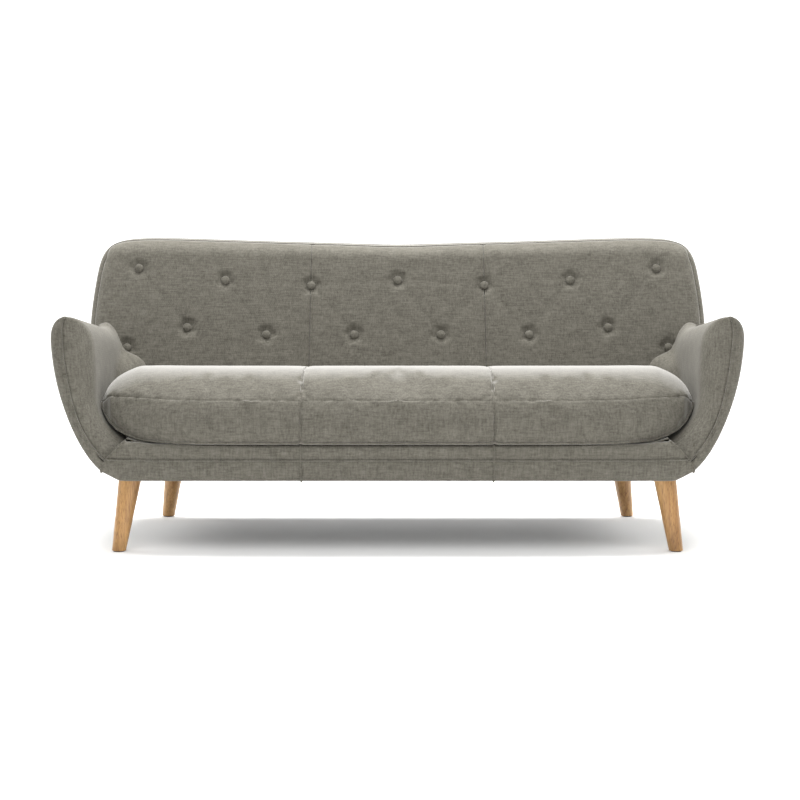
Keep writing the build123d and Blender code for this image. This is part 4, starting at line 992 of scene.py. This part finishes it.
def cushion_section(x):
    """Closed section of the cushion at x as (y, z): front boxing, top, rear boxing and underside."""
    low, high = along(END_LOW, x) + DECK + 0.0008, along(END_HIGH, x) + DECK
    seam = front_seam_height(x, low, high)
    front, rear = FRONT + along(FRONT_PLAN, x), BACK_FOOT - 0.006 - along(REAR_PLAN, x)
    full = min(1.0, (seam - low) / 0.08)
    up = (1 - np.cos(np.linspace(0, math.pi, BOXING_ROWS))) / 2
    belly = FRONT_BELLY * full * np.sin(up * math.pi) ** 0.8
    boxing = np.stack([front - FRONT_LEAN * (1 - up) * full - belly, low + (seam - low) * up], axis=1)
    top = cushion_top(front, seam, high, rear, full)
    (lip_y, lip_z), drop = top[-1], np.linspace(0, 1, REAR_ROWS)
    back = np.stack([lip_y + (rear - lip_y) * smooth(drop * 1.3), lip_z + (low - lip_z) * drop], axis=1)
    under_y = np.linspace(rear, front - FRONT_LEAN * full, UNDER_ROWS)
    under = np.stack([under_y, np.full(UNDER_ROWS, low)], axis=1)
    return np.concatenate([boxing, top[1:], back[1:], under[1:-1]])


print("section in the middle of the cushion:", len(cushion_section(0.0)), "points")

# %% [markdown]
# The sections are set closer together near the seams and at the ends, and joined into one closed bag.

# %% Seat cushion bag
FRONT_SEAM = BOXING_ROWS - 1
REAR_SEAM = FRONT_SEAM + TOP_ROWS - 1
REAR_FOOT = REAR_SEAM + REAR_ROWS - 1
CUSHION_TIP = 0.832
half_x = graded(0, CUSHION_TIP, 0.011, marks=(SEAM_X, CUSHION_TIP), fine=0.0022, reach=0.012)
cushion_x = np.concatenate([-half_x[:0:-1], half_x])
sections = np.stack([cushion_section(x) for x in cushion_x])
bag = flat_grid(cushion_x[:, None], sections[..., 0], sections[..., 1])
bag[..., 0] = tucked(bag[..., 0], bag[..., 1])
rows, cols = bag.shape[:2]
faces = grid_faces(rows, cols, wrap=True).tolist()
faces.append(list(range(cols)))
faces.append(list(range((rows - 1) * cols, rows * cols))[::-1])
girth = np.linspace(0, 1.35, cols)[None, :] + np.zeros((rows, 1))
uv = np.stack([cushion_x[:, None] + np.zeros((1, cols)), girth], axis=2).reshape(-1, 2)
cushion = add_object("seat_cushion", bag.reshape(-1, 3).tolist(), faces, uv)
print("cushion grid:", bag.shape)

# %% [markdown]
# Cloth simulation pushes the bag outward for a few frames with no gravity. The seams and the underside
# are pinned, so only the panels crown. No point may travel more than 4.5 mm, which keeps the cushion
# clear of the arms. The result is written into the mesh and the simulation is taken off again. The
# usual voxel remesh is left out, because it would erase the seams and this grid is already even.

# %% Seat cushion simulation
FRAMES, PRESSURE, TRAVEL = 18, 3.0, 0.0045


def inflate(piece, held, pressure, cap):
    """Cloth under pressure with its seams held, then each point's travel limited to the cap."""
    rest = np.zeros(len(piece.data.vertices) * 3)
    piece.data.vertices.foreach_get("co", rest)
    group = piece.vertex_groups.new(name="seams")
    group.add(held, 1.0, "REPLACE")
    cloth = piece.modifiers.new("fill", "CLOTH")
    cloth.settings.vertex_group_mass = "seams"
    cloth.settings.use_pressure = True
    cloth.settings.uniform_pressure_force = pressure
    cloth.settings.tension_stiffness = 12
    cloth.settings.compression_stiffness = 12
    cloth.settings.bending_stiffness = 0.4
    cloth.settings.effector_weights.gravity = 0
    cloth.settings.shrink_min = -0.035
    cloth.collision_settings.use_collision = False
    cloth.point_cache.frame_end = FRAMES
    scene = bpy.context.scene
    for step in range(1, FRAMES + 1):
        scene.frame_set(step)
    shaped = piece.evaluated_get(bpy.context.evaluated_depsgraph_get()).to_mesh()
    after = np.zeros(len(shaped.vertices) * 3)
    shaped.vertices.foreach_get("co", after)
    piece.to_mesh_clear()
    piece.modifiers.remove(cloth)
    scene.frame_set(1)
    rest, after = rest.reshape(-1, 3), after.reshape(-1, 3)
    travel = after - rest
    far = np.linalg.norm(travel, axis=1, keepdims=True)
    moved = rest + travel * np.minimum(1, cap / np.maximum(far, 1e-9))
    piece.data.vertices.foreach_set("co", moved.astype(np.float32).ravel())
    piece.data.update()
    return float(far.max()), float(np.median(far))


index = np.arange(rows * cols).reshape(rows, cols)
seam_rows = [int(np.argmin(np.abs(cushion_x - s * SEAM_X))) for s in (-1, 1)]
held = np.unique(np.concatenate([index[:, [0, FRONT_SEAM, REAR_SEAM]].ravel(), index[seam_rows].ravel(),
                                 index[[0, 1, -2, -1]].ravel(), index[:, REAR_FOOT:].ravel()]))
print("cushion travel, metres (most, middle):", inflate(cushion, held.tolist(), PRESSURE, TRAVEL))

# %% [markdown]
# A seam is a place where the cloth is drawn in. The remaining step is to press the two cross seams and
# the seam over the front boxing a few millimetres into the crowned cloth.


# %% Cushion seams
def press_seams(piece, rest_x, column):
    """Pulls in the cloth along the cross seams and along one column of the grid:
    -3.5 or -3 mm * exp(-(distance / 4 mm)^2) along each normal."""
    points = np.zeros(rows * cols * 3)
    normals = np.zeros(rows * cols * 3)
    piece.data.vertices.foreach_get("co", points)
    piece.data.vertices.foreach_get("normal", normals)
    points, normals = points.reshape(rows, cols, 3), normals.reshape(rows, cols, 3)
    depth = np.zeros((rows, cols))
    for side in (-1, 1):
        depth = np.minimum(depth, groove(rest_x[:, None] - side * SEAM_X, 0.0040, 0.0035))
    right = measured(points)[1]
    depth = np.minimum(depth, groove(right - right[:, column : column + 1], 0.0040, 0.0030))
    depth[:, cols - UNDER_ROWS :] = 0
    pressed = points + normals * depth[:, :, None]
    piece.data.vertices.foreach_set("co", pressed.astype(np.float32).ravel())
    piece.data.update()


press_seams(cushion, cushion_x, FRONT_SEAM)
print("pressed seams: 2 across and 1 along", 2 * round(half_x[-1], 3), "m")

# %% [markdown]
# The lower edge of the front is piped: a cord covered in the same cloth is sewn into the seam. It is a
# tube carried along the edge of the bag.


# %% Piping
def piping(name, line, radius=0.0034, sides=8):
    """Round cord along a line: circles radius * (cos, sin) square to it, with both ends closed."""
    step = np.gradient(line, axis=0)
    step /= np.linalg.norm(step, axis=1)[:, None]
    side = np.cross(step, np.array([0.0, 0.0, 1.0]))
    side /= np.maximum(np.linalg.norm(side, axis=1)[:, None], 1e-9)
    up = np.cross(side, step)
    turn = np.linspace(0, 2 * math.pi, sides, endpoint=False)
    ring = np.cos(turn)[None, :, None] * side[:, None] + np.sin(turn)[None, :, None] * up[:, None]
    grid = line[:, None] + radius * ring
    faces = grid_faces(len(line), sides, wrap=True).tolist()
    faces.append(list(range(sides)))
    faces.append(list(range((len(line) - 1) * sides, len(line) * sides))[::-1])
    return add_object(name, grid.reshape(-1, 3).tolist(), faces)


shaped = np.zeros(rows * cols * 3)
cushion.data.vertices.foreach_get("co", shaped)
low_edge = shaped.reshape(rows, cols, 3)[:, 0]
cord = piping("cushion_piping", even(low_edge, 500) + np.array([0, -0.0024, 0.0022]))
print("piping:", round(float(np.linalg.norm(np.diff(low_edge, axis=0), axis=1).sum()), 3), "m")
# The piping and the cushion take the lit copy of the cloth, with more painted sheen, so they read lighter.
dress(cord, body="seat_cushion", cloth=CHENILLE_PAINTED_HIGHLIGHT)
finer = cushion.modifiers.new("finer", "SUBSURF")
finer.levels = finer.render_levels = 1
dress(cushion, body="seat_cushion", covers=("seat_cushion_cover", "seat_cushion_core"),
      cloth=CHENILLE_PAINTED_HIGHLIGHT)

# %% [markdown]
# ## Light, floor and camera
# A pale floor that runs into a white wall, a wide soft light above, a key from the front and two from
# the sides give the even light of a furniture studio. The camera stands six metres away on a long lens.

# %% Lamps
def aim(thing, place, target):
    """Puts a light or camera at a place and turns its -Z axis towards a target."""
    thing.location = place
    thing.rotation_euler = (Vector(target) - Vector(place)).to_track_quat("-Z", "Y").to_euler()


def lamp(name, place, target, size, power):
    """Rectangular area light that faces a target."""
    light = bpy.data.lights.new(name, "AREA")
    light.shape = "RECTANGLE"
    light.size, light.size_y = size
    light.energy = power
    made = bpy.data.objects.new(name, light)
    bpy.context.scene.collection.objects.link(made)
    aim(made, place, target)
    return made


lamp("key", (-0.8, -3.0, 4.2), (0, 0, 0.4), (3.5, 3.0), 104)
lamp("fill", (3.0, -3.4, 2.4), (0, 0, 0.4), (2.5, 2.5), 35)
lamp("edge_left", (-3.4, 0.8, 3.0), (-0.8, 0, 0.3), (2.0, 2.0), 55)
lamp("edge_right", (3.4, 0.8, 3.0), (0.8, 0, 0.3), (2.0, 2.0), 55)
lamp("top", (0, 0.9, 4.2), (0, 0.1, 0.4), (4.0, 2.5), 430)
print("lamps:", [light.name for light in bpy.data.lights])

# %% [markdown]
# The floor runs eight metres back before it curves up, so that the sofa can be looked at from all
# sides. Far from the sofa it glows a little, as a lit studio floor does, and near it only takes shadow.


# %% Floor
def backdrop():
    """Floor that curves up into a wall well behind the sofa: straight, quarter circle, straight."""
    turn = np.linspace(0, math.pi / 2, 16)
    y = np.concatenate([[-20.0], 8.0 + 1.5 * np.sin(turn), [9.5]])
    z = np.concatenate([[0.0], 1.5 - 1.5 * np.cos(turn), [9.0]])
    x = np.array([-20.0, 20.0])
    grid = flat_grid(x[:, None], y, z)
    return add_object("floor", grid.reshape(-1, 3).tolist(), grid_faces(2, len(y)).tolist())


floor = backdrop()
white, tree = new_material("white_paper_sweep")
away = node(tree, "VectorMath", {0: node(tree, "TexCoord").outputs["Object"]}, operation="LENGTH")
glow = node(tree, "MapRange", {"Value": away.outputs["Value"], "From Min": 2.2, "From Max": 5.0,
                               "To Min": 0.05, "To Max": 0.6})
shader = node(tree, "BsdfPrincipled", {"Base Color": linear("#F4F4F3"),
                                       "Emission Strength": glow.outputs["Result"]})
print("floor:", len(floor.data.polygons), "faces")
finish_material(tree, shader, Roughness=0.9, Specular_IOR_Level=0.1, Emission_Color=linear("#FFFFFF"))
floor.data.materials.append(white)

# %% [markdown]
# The rest of the light comes from all round, as in a white room. The camera looks down five degrees.

# %% World and camera
world = bpy.data.worlds.new("studio")
bpy.context.scene.world = world
world.use_nodes = True
world.node_tree.nodes["Background"].inputs["Color"].default_value = linear("#FFFFFF")
world.node_tree.nodes["Background"].inputs["Strength"].default_value = 0.56

camera = bpy.data.objects.new("camera", bpy.data.cameras.new("camera"))
bpy.context.scene.collection.objects.link(camera)
camera.data.lens = 90.0
camera.location = (0.007, -5.814, 0.900)
camera.rotation_euler = (math.radians(85.0), 0, 0)
bpy.context.scene.camera = camera

bpy.context.scene.view_settings.view_transform = "Standard"
print("camera", tuple(round(c, 3) for c in camera.location), "lens", camera.data.lens)
